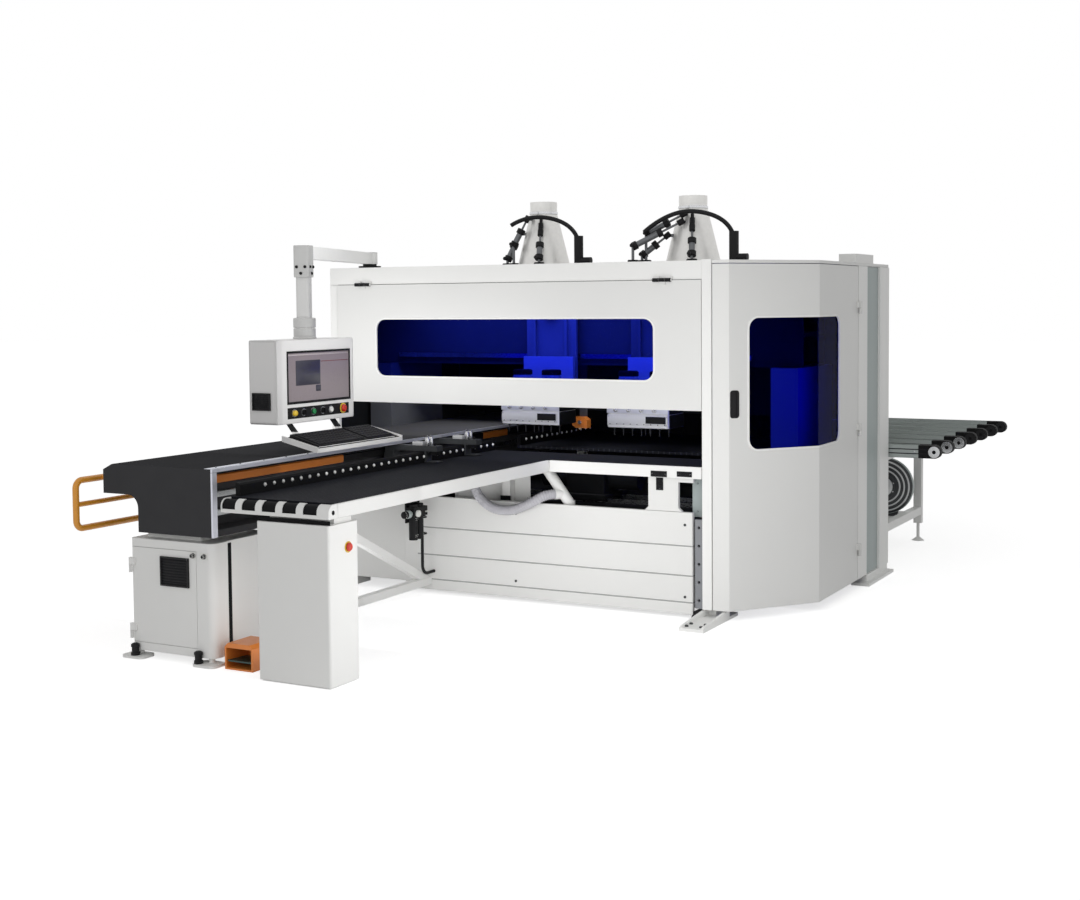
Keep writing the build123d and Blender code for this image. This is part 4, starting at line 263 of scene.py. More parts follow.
def coat(name, colour, roughness, tone=0.05, tone_mm=90, grain_mm=6, bump=0.06, metallic=0.0, edge=2.0,
         clear=0.0, shine=0.5, stretch=(1, 1, 1)):
    """Opaque finish with uneven tone, gloss and a fine grain; sizes in millimetres."""
    tree, output = new_finish(name)
    place = add_node(tree, "ShaderNodeTexCoord").outputs["Object"]
    if stretch != (1, 1, 1):
        place = add_node(tree, "ShaderNodeMapping", {"Vector": place, "Scale": stretch}).outputs["Vector"]
    mottle = add_node(tree, "ShaderNodeTexNoise", {"Vector": place, "Scale": MM / tone_mm, "Detail": 4.0})
    dark, light = shade(colour, 1 - tone), shade(colour, 1 + tone)
    mixed = add_node(
        tree, "ShaderNodeMix", {"Factor": mottle.outputs["Fac"], 6: dark, 7: light}, data_type="RGBA"
    )
    grain = add_node(tree, "ShaderNodeTexNoise", {"Vector": place, "Scale": MM / grain_mm, "Detail": 2.0})
    spread = 0.08
    gloss = add_node(tree, "ShaderNodeMapRange", {
        "Value": grain.outputs["Fac"],
        "To Min": max(0.02, roughness - spread),
        "To Max": min(1.0, roughness + spread),
    })
    soft = add_node(tree, "ShaderNodeBevel", {"Radius": edge / MM}, samples=4)
    relief = add_node(tree, "ShaderNodeBump", {
        "Height": grain.outputs["Fac"],
        "Strength": bump,
        "Distance": 0.001,
        "Normal": soft.outputs["Normal"],
    })
    surface = add_node(tree, "ShaderNodeBsdfPrincipled", {
        "Base Color": mixed.outputs[2],
        "Roughness": gloss.outputs["Result"],
        "Normal": relief.outputs["Normal"],
        "Metallic": metallic,
        "Specular IOR Level": shine,
        "Coat Weight": clear,
        "Coat Roughness": 0.15,
    })
    tree.links.new(surface.outputs["BSDF"], output.inputs["Surface"])
    return tree, surface, mixed.outputs[2]


def zone(finish, colour, **limits):
    """Second colour between limits along X, Y or Z in plan millimetres; None leaves a side open."""
    tree, surface, base = finish
    place = add_node(tree, "ShaderNodeTexCoord").outputs["Object"]
    split = add_node(tree, "ShaderNodeSeparateXYZ", {"Vector": place})
    share = 1.0
    for axis, span in limits.items():
        for test, limit in zip(("GREATER_THAN", "LESS_THAN"), span):
            if limit is None:
                continue
            edge = spot((limit, limit, limit))["XYZ".index(axis)]
            side = add_node(tree, "ShaderNodeMath", {0: split.outputs[axis], 1: edge}, operation=test)
            both = add_node(tree, "ShaderNodeMath", {0: share, 1: side.outputs[0]}, operation="MULTIPLY")
            share = both.outputs[0]
    painted = add_node(tree, "ShaderNodeMix", {"Factor": share, 6: base, 7: shade(colour)}, data_type="RGBA")
    tree.links.new(painted.outputs[2], surface.inputs["Base Color"])
    return tree, surface, painted.outputs[2]


def background_rays(tree):
    """Socket that is 1 for the rays that show the background: seen straight, mirrored or through glass."""
    path = add_node(tree, "ShaderNodeLightPath")
    share = path.outputs["Is Camera Ray"]
    for ray in ("Is Glossy Ray", "Is Transmission Ray"):
        either = add_node(tree, "ShaderNodeMath", {0: share, 1: path.outputs[ray]}, operation="MAXIMUM")
        share = either.outputs[0]
    return share


class DrillColours(bpy.types.PropertyGroup):
    """Colours of the machine's finishes."""

    white: bpy.props.FloatVectorProperty(
        name="Cover white", description="Powder coat of the covers", subtype="COLOR", default=linear("#EAEAE8")
    )
    trim: bpy.props.FloatVectorProperty(
        name="Trim white", description="Powder coat of frames and boxes", subtype="COLOR", default=linear("#F6F6F4")
    )
    console: bpy.props.FloatVectorProperty(
        name="Console grey", description="Powder coat of the console", subtype="COLOR", default=linear("#F0EFEE")
    )
    stripe: bpy.props.FloatVectorProperty(
        name="Stripe grey", description="Powder coat of the rear stripe", subtype="COLOR", default=linear("#A9B3B2")
    )
    charcoal: bpy.props.FloatVectorProperty(
        name="Beam charcoal", description="Texture coat of the beam", subtype="COLOR", default=linear("#48484A")
    )
    orange: bpy.props.FloatVectorProperty(
        name="Guard orange", description="Enamel of guards and pedal", subtype="COLOR", default=linear("#E5873A")
    )
    yellow: bpy.props.FloatVectorProperty(
        name="Rail yellow", description="Enamel of the guard rail", subtype="COLOR", default=linear("#EFA232")
    )
    tint: bpy.props.FloatVectorProperty(
        name="Window blue", description="Tint of the windows", subtype="COLOR", default=linear("#3046FF")
    )
    table: bpy.props.FloatVectorProperty(
        name="Table black", description="Laminate of the float tables", subtype="COLOR", default=linear("#1E1F24")
    )
    belt: bpy.props.FloatVectorProperty(
        name="Belt green", description="Cover of the outfeed belts", subtype="COLOR", default=linear("#7D8682")
    )


class DrillSizes(bpy.types.PropertyGroup):
    """Sizes of the pieces that the scene adds."""

    gasket: bpy.props.FloatProperty(
        name="Gasket width", description="Rubber round the windows", unit="LENGTH", default=0.012
    )
    screw: bpy.props.FloatProperty(
        name="Screw radius", description="Heads on the cover panels", unit="LENGTH", default=0.008
    )
    roller: bpy.props.FloatProperty(
        name="Fence roller radius", description="White rollers along the fence", unit="LENGTH", default=0.009
    )
    roller_pitch: bpy.props.FloatProperty(
        name="Fence roller spacing", description="Between rollers along the fence", unit="LENGTH", default=0.078
    )
    hose: bpy.props.FloatProperty(
        name="Suction hose diameter", description="Outside of the corrugated hose", unit="LENGTH", default=0.064
    )
    key: bpy.props.FloatProperty(
        name="Key spacing", description="Between keys of the keyboard", unit="LENGTH", default=0.0295
    )
    front_light: bpy.props.FloatProperty(
        name="Front light width", description="Soft box before the covers", unit="LENGTH", default=5.1
    )


class DRILL_OT_finishes(bpy.types.Operator):
    """Make the finishes and paint the frame's pieces"""

    bl_idname = "drill.finishes"
    bl_label = "Finishes"

    def execute(self, context):
        colours = context.scene.drill_colours
        self.powder_coats(colours)
        self.primers(colours)
        self.enamels(colours)
        self.metals()
        self.plastics()
        self.belts(colours)
        self.table_laminate(colours)
        self.tinted_window(colours)
        self.screen_glass()
        self.paint()
        return {"FINISHED"}

    def powder_coats(self, colours):
        """Polyester powder coat, sprayed and baked: satin, with faint orange peel that breaks up highlights."""
        powder = {"roughness": 0.45, "tone": 0.012, "grain_mm": 5, "bump": 0.05, "edge": 3.0, "shine": 0.3}
        cover = dict(powder, colour=colours.white, tone_mm=260)
        coat("white_powder_coat", **cover)
        coat("trim_powder_coat", colours.trim, tone_mm=200, **powder)
        coat("console_powder_coat", colours.console, tone_mm=120, **dict(powder, edge=14.0))
        coat("grey_powder_coat", colours.stripe, 0.48, tone=0.03, tone_mm=180, grain_mm=5, shine=0.3)
        # The same coat on panels whose inner faces are painted dull charcoal: painted shade for the dark inside of
        # the enclosure.
        inside_shade = "#1E1F21"
        zone(coat("inside_shade_powder_coat", **cover), inside_shade, X=(-296, 3150), Y=(420, 2067))
        zone(coat("inside_shade_roof_coat", **cover), inside_shade, Z=(None, 2131))
        # The tray is coated as the console is, its thin struts above it in black.
        zone(coat("tray_powder_coat", colours.console, tone_mm=120, **powder), "#151517", Z=(1176, None))
        # Folded sheet: the same coat, with a grey line of painted shade along each fold.
        fold_shade = coat("fold_shade_powder_coat", **cover)
        for fold in (95, 257, 437):
            fold_shade = zone(fold_shade, "#B2B3B2", Z=(fold - 4, fold + 4), X=(617, None))

    def primers(self, colours):
        """Primer sprayed on the frame inside: dull charcoal and greys with a dusty grain."""
        primer = {"tone": 0.15, "tone_mm": 200, "bump": 0.1, "shine": 0.1}
        coat("charcoal_primer", "#242527", 0.7, **primer)
        # The base's open front corner is coated white.
        zone(coat("corner_primer", "#242527", 0.7, **primer), colours.white, X=(None, 700), Y=(None, 60))
        # Mid grey on the portal's columns and carriages, darker on the crossbeam; both change at the right end.
        right_end = (2500, None)
        zone(coat("column_primer", "#6A6C6F", 0.65, **primer), "#8E9094", X=right_end)
        zone(coat("beam_primer", "#4C4E52", 0.65, **primer), "#232428", X=right_end)
        coat("pale_primer", "#7E8084", 0.6, **primer)
        coat("grey_primer", "#5E6063", 0.65, **primer)

    def enamels(self, colours):
        """Gloss alkyd enamel, sprayed: even, bright, a little clear depth; and the beam's texture coat."""
        # Wrinkle-texture polyurethane coat: matt charcoal, its coarse grain drawn at 7 mm to show at all.
        coat("charcoal_texture_coat", colours.charcoal, 0.75, tone=0.07, tone_mm=150, grain_mm=7, bump=0.2,
             shine=0.0)
        enamel = {"roughness": 0.34, "tone_mm": 120, "grain_mm": 8, "bump": 0.04, "clear": 0.1}
        coat("orange_enamel", colours.orange, **enamel)
        # The same enamel on the beam's strip, with its middle and rear runs in black.
        strip = coat("strip_enamel", colours.orange, **enamel)
        for run in ((-880, 800), (1150, 2000)):
            strip = zone(strip, "#161617", Y=run, X=(None, 1300))
        coat("yellow_enamel", colours.yellow, 0.3, tone=0.06, grain_mm=9, bump=0.04, clear=0.2)
        # The pedal's enamel is a dark green and a little duller from wear.
        coat("green_enamel", "#20403A", 0.4, tone=0.06, tone_mm=60)

    def metals(self):
        """Bare, anodised and galvanised metals, and painted iron."""
        # Extruded and brushed aluminium: pale metal with fine lines along the feed, drawn 3 mm wide to show.
        coat("brushed_aluminium", "#D6D8E2", 0.38, tone=0.06, tone_mm=40, grain_mm=3, bump=0.05, metallic=0.6,
             stretch=(1, 0.08, 1), edge=1.5)
        # Milled aluminium plate: cutter lines across it, drawn 4 mm wide to show.
        milled = {"roughness": 0.36, "tone_mm": 30, "grain_mm": 4, "stretch": (0.1, 1, 1), "edge": 1.5}
        coat("milled_aluminium", "#D4D5D6", metallic=0.5, **milled)
        # The heads' blocks: milled plate in front, black cover sheet on their right sides.
        head = coat("head_aluminium", "#DADBDC", metallic=0.4, **milled)
        for sheet in ((1431, 1500), (2219, None)):
            head = zone(head, "#1A1B1D", X=sheet)
        # Oiled tool steel of the bits: dark, with a thin bright edge.
        coat("oiled_steel", "#3A3B3E", 0.35, tone=0.1, tone_mm=20, grain_mm=3, bump=0.04, metallic=0.8, edge=1.0)
        # Anodised aluminium castings of the boom: silky light grey; its drop and its joint cover are darker.
        boom = coat("anodised_boom", "#F4F4F2", 0.42, tone=0.03, tone_mm=70, grain_mm=4, bump=0.05, metallic=0.1)
        zone(boom, "#BDBDBC", Z=(None, 2072))
        coat("anodised_joint", "#B2B2B1", 0.42, tone=0.04, tone_mm=60, grain_mm=4, metallic=0.2)
        # Hard-anodised tubes of the hood cylinders: dark smoke grey with a silky shine along the barrel.
        coat("smoked_anodised_tube", "#6C6E71", 0.35, tone=0.12, tone_mm=30, grain_mm=3, bump=0.04,
             metallic=0.5, edge=1.0)
        # Hot-dip galvanised sheet of the dust cones: warm grey with cloudy spangle 25 mm wide.
        coat("galvanised_sheet", "#ECEBE8", 0.42, tone=0.07, tone_mm=25, grain_mm=8, bump=0.05, metallic=0.5)
        # Ground and hardened steel: bright, with grinding lines across the piece.
        coat("ground_steel", "#A9ABAD", 0.28, tone=0.06, tone_mm=20, grain_mm=3, bump=0.04, metallic=1.0,
             stretch=(0.15, 1, 1), edge=1.0)
        # Turned and polished steel of screws and fittings: the brightest metal, nearly even.
        coat("bright_steel", "#D5D6D8", 0.22, tone=0.04, tone_mm=40, bump=0.02, metallic=0.9, edge=1.0)
        # Painted grey iron: dark, its sand-cast grain drawn at 5 mm.
        coat("dark_cast_iron", "#3C3E40", 0.5, tone=0.12, tone_mm=50, grain_mm=5, bump=0.15, metallic=0.2)

    def plastics(self):
        """Moulded plastics and rubbers."""
        # Injection-moulded ABS: matt black with a fine spark-eroded grain, greyer and finer on keys and louvres.
        coat("black_abs", "#131315", 0.55, tone=0.1, tone_mm=60, grain_mm=3, bump=0.1, edge=1.5, shine=0.25)
        coat("dark_key_abs", "#1C1C1F", 0.6, tone=0.08, tone_mm=25, grain_mm=2, bump=0.08, edge=0.8, shine=0.2)
        # Moulded rubber: dull and dead black, or white with a chalky bloom on the window seals.
        coat("black_rubber", "#0E0E10", 0.75, tone=0.12, tone_mm=40, grain_mm=3, bump=0.12, edge=1.5, shine=0.15)
        coat("white_rubber", "#FAFAF8", 0.6, tone=0.02, tone_mm=40, grain_mm=3, bump=0.05, edge=1.5, shine=0.3)
        # Polished acetal caps of the push buttons: saturated and glossy.
        acetal = {"tone_mm": 12, "grain_mm": 4, "bump": 0.02, "clear": 0.2, "edge": 1.0}
        coat("red_acetal", "#D0301E", 0.25, **acetal)
        coat("green_acetal", "#1E8A4A", 0.28, **acetal)
        coat("yellow_acetal", "#E8C23A", 0.28, **acetal)
        coat("white_acetal", "#F2F2EE", 0.3, tone=0.02, **acetal)
        # Corrugated PVC suction hose: cloudy cool grey with a soft shine.
        coat("grey_pvc_hose", "#BDBCC2", 0.4, tone=0.1, tone_mm=35, grain_mm=5, bump=0.05, edge=1.0)

    def belts(self, colours):
        """Outfeed belts and the drawn aluminium profiles under them, both with black ends."""
        # Fabric-backed conveyor belt: dull grey-green rubber with a woven face, drawn 6 mm wide.
        belt = coat("belt_rubber", colours.belt, 0.7, tone=0.14, tone_mm=60, bump=0.2, shine=0.2)
        # Drawn and anodised aluminium profile: pale and silky.
        profile = coat("belt_profile", "#A9B0AE", 0.42, tone_mm=50, metallic=0.4, shine=0.2)
        for finish in (belt, profile):
            for end in ((3405, None), (None, 1065)):
                finish = zone(finish, "#121213", X=end)

    def table_laminate(self, colours):
        """Phenolic laminate of the float table: matt black, with rows of small air jets 40 mm apart."""
        jet_mm, jet_radius_mm = 40, 3.6
        tree, surface, base = coat(
            "phenolic_laminate", colours.table, 0.6, tone=0.15, tone_mm=120, grain_mm=5, bump=0.05, shine=0.04
        )
        place = add_node(tree, "ShaderNodeTexCoord").outputs["Object"]
        pitch = (MM / jet_mm, MM / jet_mm, 0)
        scaled = add_node(tree, "ShaderNodeVectorMath", {0: place, 1: pitch}, operation="MULTIPLY")
        cell = add_node(tree, "ShaderNodeVectorMath", {0: scaled.outputs[0]}, operation="FRACTION")
        middle = (0.5, 0.5, 0)
        reach = add_node(tree, "ShaderNodeVectorMath", {0: cell.outputs[0], 1: middle}, operation="DISTANCE")
        jet = add_node(
            tree, "ShaderNodeMath", {0: reach.outputs["Value"], 1: jet_radius_mm / jet_mm}, operation="LESS_THAN"
        )
        dotted = add_node(
            tree, "ShaderNodeMix", {"Factor": jet.outputs[0], 6: base, 7: shade("#3C3D42")}, data_type="RGBA"
        )
        tree.links.new(dotted.outputs[2], surface.inputs["Base Color"])

    def tinted_window(self, colours):
        """Blue polycarbonate sheet, extruded and polished: clear, deep tint, faint waves in its gloss."""
        tree, output = new_finish("blue_polycarbonate")
        wave_mm = 400
        place = add_node(tree, "ShaderNodeTexCoord").outputs["Object"]
        wave = add_node(tree, "ShaderNodeTexNoise", {"Vector": place, "Scale": MM / wave_mm, "Detail": 1.0})
        relief = add_node(
            tree, "ShaderNodeBump", {"Height": wave.outputs["Fac"], "Strength": 0.03, "Distance": 0.002}
        )
        # The IOR is far under the sheet's own, because a full one hid the inside behind a milky reflection.
        surface = add_node(tree, "ShaderNodeBsdfPrincipled", {
            "Base Color": shade(colours.tint),
            "Roughness": 0.03,
            "Transmission Weight": 1.0,
            "IOR": 1.03,
            "Specular IOR Level": 0.02,
            "Normal": relief.outputs["Normal"],
        })
        tree.links.new(surface.outputs["BSDF"], output.inputs["Surface"])

    def screen_glass(self):
        """Lit panel behind matt glass: mauve grey, uneven as a backlight is."""
        glass = {"roughness": 0.3, "grain_mm": 4, "bump": 0.01, "clear": 0.3}
        coat("screen_panel", "#93888C", tone=0.06, tone_mm=160, **glass)
        coat("screen_dark", "#3A3946", tone=0.08, tone_mm=60, **glass)
        coat("screen_pale", "#B9AEB2", tone_mm=60, **glass)
        coat("screen_red", "#8A4A52", tone_mm=60, **glass)

    def paint(self):
        """Give each carried-over node its finish; those not listed are white."""
        wanted = {
            "console_powder_coat": ("console_housing",),
            "tray_powder_coat": ("keyboard_tray",),
            "trim_powder_coat": (
                "front_frame", "leg_box", "control_cabinet", "control_door", "table_edge_trim",
                "support_tubes", "floor_feet",
            ),
            "inside_shade_powder_coat": ("enclosure_panels",),
            "inside_shade_roof_coat": ("roof_cover",),
            "fold_shade_powder_coat": ("lower_front_panels",),
            "charcoal_primer": ("lower_head",),
            "corner_primer": ("base_frame",),
            "column_primer": ("portal_columns",),
            "beam_primer": ("crossbeam",),
            "pale_primer": ("left_head_carriage",),
            "grey_primer": ("right_head_carriage",),
            "anodised_boom": ("swing_arm",),
            "black_abs": (
                "arm_base", "hood_conduits", "air_unit", "left_selector", "right_selector",
                "front_clamp_jaw", "rear_clamp_jaw",
            ),
            "black_rubber": ("nose_rollers", "outfeed_idlers", "side_fence"),
            "charcoal_texture_coat": ("feed_beam_cover",),
            "brushed_aluminium": ("feed_beam_frame",),
            "belt_profile": ("outfeed_frame",),
            "head_aluminium": ("left_drill_block", "right_drill_block"),
            "galvanised_sheet": ("dust_cones",),
            "orange_enamel": ("pedal_guard",),
            "strip_enamel": ("beam_strip",),
            "yellow_enamel": ("guard_rail",),
            "green_enamel": ("foot_pedal",),
            "oiled_steel": ("left_drill_bits", "right_drill_bits", "lower_drill_bits"),
            "ground_steel": ("linear_rails", "outfeed_drive_shaft"),
            "smoked_anodised_tube": ("gate_cylinders",),
            "dark_cast_iron": ("ring_blower", "front_clamp_carriage", "rear_clamp_carriage"),
            "red_acetal": ("console_stop", "leg_stop"),
            "green_acetal": ("green_button",),
            "phenolic_laminate": ("table_tops",),
            "blue_polycarbonate": ("hatch_window", "end_door_window"),
            "screen_panel": ("console_screen",),
            "belt_rubber": ("outfeed_belts",),
            "grey_pvc_hose": ("suction_hose",),
        }
        chosen = {node: finish for finish, nodes in wanted.items() for node in nodes}
        for node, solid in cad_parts.items():
            solid.data.materials.clear()
            solid.data.materials.append(finishes[chosen.get(node, "white_powder_coat")])


class DRILL_OT_suction_hose(bpy.types.Operator):
    """Hang the corrugated suction hose from the table to the suction duct"""

    bl_idname = "drill.suction_hose"
    bl_label = "Suction hose"

    def execute(self, context):
        diameter = context.scene.drill_sizes.hose
        # The solid's route, from the port under the table to the duct.
        route = (
            (1080, -60, 873), (1080, -60, 755), (1140, -62, 650), (1245, -64, 592), (1370, -66, 592),
            (1459.1, -66, 625), (1534.1, -58, 662), (1588.2, -20, 700), (1628.1, 27.5, 700),
        )
        curve = bpy.data.curves.new("suction_hose_line", "CURVE")
        curve.dimensions = "3D"
        line = curve.splines.new("NURBS")
        line.points.add(len(route) - 1)
        for point, place in zip(line.points, route):
            point.co = (*spot(place), 1.0)
        line.order_u = 3
        line.use_endpoint_u = True
        line.resolution_u = 12
        guide = bpy.data.objects.new("suction_hose_guide", curve)
        drawn = bpy.data.meshes.new_from_object(guide)
        path = [vertex.co.copy() for vertex in drawn.vertices]
        bpy.data.objects.remove(guide)
        hose = add_piece("suction_hose_corrugated", self.corrugated(path, diameter), ["grey_pvc_hose"])
        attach(hose, "machine")
        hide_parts("suction_hose")
        return {"FINISHED"}

    def corrugated(self, path, diameter):
        """Tube along the path whose radius runs in rings 16 mm apart, 4 steps to a ring."""
        sides, step_length, ring_steps, tiny = 28, 0.004, 4, 1e-9
        lengths = [0.0]
        for before, after in zip(path, path[1:]):
            lengths.append(lengths[-1] + (after - before).length)
        steps = int(lengths[-1] / step_length)
        turn = [2 * math.pi * place / sides for place in range(sides)]
        side = Vector(BACK)
        mesh = bmesh.new()
        rows = []
        for step in range(steps + 1):
            reach = lengths[-1] * step / steps
            place = max(k for k in range(len(lengths) - 1) if lengths[k] <= reach + tiny)
            share = (reach - lengths[place]) / max(tiny, lengths[place + 1] - lengths[place])
            centre = path[place].lerp(path[place + 1], share)
            along = (path[place + 1] - path[place]).normalized()
            side = (side - along * side.dot(along)).normalized()
            third = along.cross(side)
            radius = diameter / 2 * (0.93 + 0.07 * math.cos(2 * math.pi * step / ring_steps))
            ring = [centre + side * (math.cos(a) * radius) + third * (math.sin(a) * radius) for a in turn]
            rows.append([mesh.verts.new(point) for point in ring])
        for low, high in zip(rows, rows[1:]):
            for k in range(sides):
                after = (k + 1) % sides
                mesh.faces.new((low[k], low[after], high[after], high[k])).smooth = True
        mesh.faces.new(rows[0][::-1])
        mesh.faces.new(rows[-1])
        bmesh.ops.recalc_face_normals(mesh, faces=mesh.faces[:])
        return mesh


class DRILL_OT_window_trim(bpy.types.Operator):
    """White rubber gaskets round the windows, hinge sleeves on the hatch and the end door's pull"""

    bl_idname = "drill.window_trim"
    bl_label = "Window trim"

    def execute(self, context):
        width = context.scene.drill_sizes.gasket * MM
        middle, across, tall, corner = (1325, 1618), 2017, 384, 70
        rings = []
        for grow, depth in ((width / 2, -8), (width / 3, -11), (-width / 2, -11), (-width / 2, 0)):
            pairs = rounded(middle, across + 2 * grow, tall + 2 * grow, corner + grow, 10)
            rings.append([(x, depth, z) for x, z in pairs])
        gasket = Shape()
        gasket.skin(rings, closed=True)
        gasket.place("hatch_window_gasket", "hatch", ["white_rubber"])
        self.door_gasket(width)
        self.door_pull()
        for name, body, spans in (
            ("hatch_hinge_sleeves", "machine", ((160, 200), (240, 280), (2330, 2370), (2410, 2450))),
            ("hatch_hinge_middles", "hatch", ((201.5, 238.5), (2371.5, 2408.5))),
        ):
            sleeves = Shape()
            for low, high in spans:
                sleeves.sleeve((low, -18.5, 2036.5), RIGHT, 10.1, 11.4, high - low, sides=20)
            sleeves.place(name, body, ["black_abs"])
        return {"FINISHED"}

    def door_gasket(self, width):
        """Gasket that bends with the window round the end door's rear fold."""
        start, end = DOOR_CHAMFER * 0.208, DOOR_CHAMFER + 415
        middle, tall, corner = ((start + end) / 2, 1414.5), 795, 70
        rings = []
        for grow, lift in ((width / 2, 0.4), (width / 3, 3), (-width / 2, 3), (-width / 2, -8)):
            pairs = rounded(middle, end - start + 2 * grow, tall + 2 * grow, corner + grow, 8)
            ring = []
            for place, (along, height) in enumerate(pairs):
                after = pairs[(place + 1) % len(pairs)]
                ring.append(on_door(along, height, lift))
                if (along - DOOR_CHAMFER) * (after[0] - DOOR_CHAMFER) < 0:
                    ring.append(on_door(DOOR_CHAMFER, height, lift))
            rings.append(ring)
        gasket = Shape()
        gasket.skin(rings, closed=True)
        gasket.place("end_door_window_gasket", "end_door_leaf", ["white_rubber"])

    def door_pull(self):
        """Black moulded cup with a rim and a finger latch in the end door's pocket."""
        cup = ((38, 64, 166, 0.3), (38, 60, 162, 4), (33, 36, 146, 4), (32, 28, 138, -10.5))
        rings = []
        for middle, width, height, lift in cup:
            pairs = rounded((middle, 1297), width, height, min(18, width / 3), 6)
            rings.append([on_door(along, rise, lift) for along, rise in pairs])
        pull = Shape()
        pull.skin(rings)
        corners = ((22, 1262), (42, 1262), (42, 1332), (22, 1332))
        pull.prism([on_door(along, height, -9) for along, height in corners], DOOR_OUT * 7, 1)
        pull.place("end_door_pull", "end_door_leaf", ["black_abs", "dark_key_abs"], bevel=1.2)


class DRILL_OT_cover_trim(bpy.types.Operator):
    """Screws of the covers, the grey stripe at the rear and the black valve plates"""

    bl_idname = "drill.cover_trim"
    bl_label = "Cover trim"

    def execute(self, context):
        radius = context.scene.drill_sizes.screw * MM
        covers = Shape()
        panel = ((680, 569), (673, 130), (1361, 132), (1365, 566), (2527, 565), (2526, 128))
        covers.screws([(x, 0, z) for x, z in panel], FRONT, radius)
        covers.screws([(x, 5, z) for x in (560, 590) for z in (140, 520)], FRONT, radius * 0.7)
        rear = [(x, z) for x in (-250, 250, 850, 1450, 2050, 2650, 3090) for z in (1250, 2080, 130, 790)]
        covers.screws([(x, REAR_FACE, z) for x, z in rear], BACK, radius)
        left = [(y, z) for y in (420, 950, 1500, 2010) for z in (130, 1100, 2060)]
        covers.screws([(LEFT_FACE, y, z) for y, z in left], LEFT, radius)
        feet = ((-20, -300), (60, -300), (2660, -300), (2750, -300), (2660, -230), (2750, -230))
        covers.screws([(x, y, 20) for x, y in feet], UP, radius * 1.4)
        covers.place("cover_screws", "machine", ["dark_cast_iron"])
        stripe = Shape()
        stripe.block((3191, 3194), (1556, 1819), (66, 2126))
        stripe.place("rear_stripe", "machine", ["grey_powder_coat"], bevel=1)
        self.valve_plates()
        return {"FINISHED"}

    def valve_plates(self):
        """Three black plates with screws and round knobs, two on the bracket and one under it."""
        bracket, under, left, right = -20, 1.5, 868, 873
        plates = Shape()
        plates.block((2312, 2418), (bracket, -17.2), (850, 886))
        plates.block((2338, 2384), (under, 4.8), (767, 844))
        plates.block((2483, 2580), (bracket, -17.2), (857, 889))
        plates.screws([(2322, bracket, left), (2408, bracket, left), (2361, under, 776)], FRONT, 4, 1)
        plates.screws([(2493, bracket, right), (2570, bracket, right)], FRONT, 4, 1)
        knobs = [(x, bracket, left) for x in (2345, 2365, 2385)]
        knobs += [(x, bracket, right) for x in (2515, 2532, 2549)]
        knobs += [(2361, under, z) for z in (800, 824)]
        for knob in knobs:
            plates.turned(knob, FRONT, ((0, 7), (5, 7), (7, 5), (7, 0.2)), 2, sides=16)
        plates.place("valve_plates", "machine", ["black_abs", "bright_steel", "dark_key_abs"], bevel=0.8)


class DRILL_OT_inner_sheets(bpy.types.Operator):
    """Strip curtain in the rear exit, the liners under the table and a black wedge of painted shadow on the right
    front foot
    """

    bl_idname = "drill.inner_sheets"
    bl_label = "Inner sheets"

    def execute(self, context):
        self.curtain()
        liner = Shape()
        liner.block((800, 1372), (184, 187), (606, 834))
        liner.screws([(x, 184, z) for x in (820, 1352) for z in (640, 800)], FRONT, 7, 1)
        liner.block((1188, 1266), (112, 119.5), (630, 662), 2)
        liner.place("under_table_liner", "machine", ["trim_powder_coat", "bright_steel", "black_abs"], bevel=1.0)
        strip = Shape()
        strip.block((2546, 2612), (74, 76), (606, 846))
        strip.screws([(2580, 74, z) for z in (640, 810)], FRONT, 6, 1)
        strip.place("under_table_strip", "machine", ["grey_powder_coat", "dark_cast_iron"], bevel=1.0)
        # A black wedge with a bolt head stands for the dark shadow triangle on the right front foot: painted
        # shadow.
        shadow_wedge = Shape()
        shadow_wedge.prism([(2560, 8, 2), (2640, 8, 2), (2640, 8, 58), (2578, 8, 44)], (0, 84, 0))
        shadow_wedge.turned((2612, 4, 26), FRONT, ((0, 14), (10, 14), (10, 8), (22, 8), (22, 0.3)), sides=6)
        shadow_wedge.place("foot_shadow_wedge", "machine", ["black_abs"], bevel=2.0)
        return {"FINISHED"}

    def curtain(self):
        """Two staggered rows of strips under a rail: over the table they touch it, beside it they hang lower."""
        first, pitch, width, thick = -44, 59, 64, 4
        table_end, exit_foot, rail_foot = 938, 862, 1052
        curtain = Shape()
        for step in range(46):
            x = first + step * pitch
            depth = 2040 if step % 2 else 2034
            foot = exit_foot if x + width < table_end else TABLE_TOP - 1
            curtain.block((x, x + width), (depth, depth + thick), (foot, rail_foot))
        # A short flap closes the corner beside the table's end.
        curtain.block((890, 937.4), (2046, 2046 + thick), (exit_foot, 930))
        curtain.block((-290, 2698), (2030, 2045), (rail_foot, 1076))
        curtain.place("exit_strip_curtain", "machine", ["black_rubber"], bevel=1.0)


class DRILL_OT_fence_rollers(bpy.types.Operator):
    """White rollers with their pins along the side fence, and the edge plate on the feed beam"""

    bl_idname = "drill.fence_rollers"
    bl_label = "Fence rollers"

    def execute(self, context):
        sizes = context.scene.drill_sizes
        radius = sizes.roller * MM
        pitch = sizes.roller_pitch * MM
        fence, height = 968, 957
        gap_start, gap_end, last = 425, 800, 1900
        profile = ((0, radius), (3, radius), (6, radius * 0.8), (8, radius * 0.45), (8.6, 0.3))
        rollers = Shape()
        y = -2018.0
        while y < last:
            if y < gap_start or y > gap_end:
                rollers.turned((fence, y, height), RIGHT, profile, sides=20)
                rollers.sleeve((fence, y, height), RIGHT, radius * 1.05, radius * 1.35, 1.6, 1, sides=20)
            y += pitch
        rollers.place("fence_rollers", "machine", ["white_acetal", "ground_steel"])
        top = 1049.2
        plate = Shape()
        plate.block((726, 769.5), (-2219, -1000), (top - 2, top))
        plate.screws([(748, y, top) for y in range(-2150, -1000, 200)], UP, 5, 1)
        plate.place("beam_edge_plate", "machine", ["brushed_aluminium", "dark_cast_iron"], bevel=0.5)
        return {"FINISHED"}


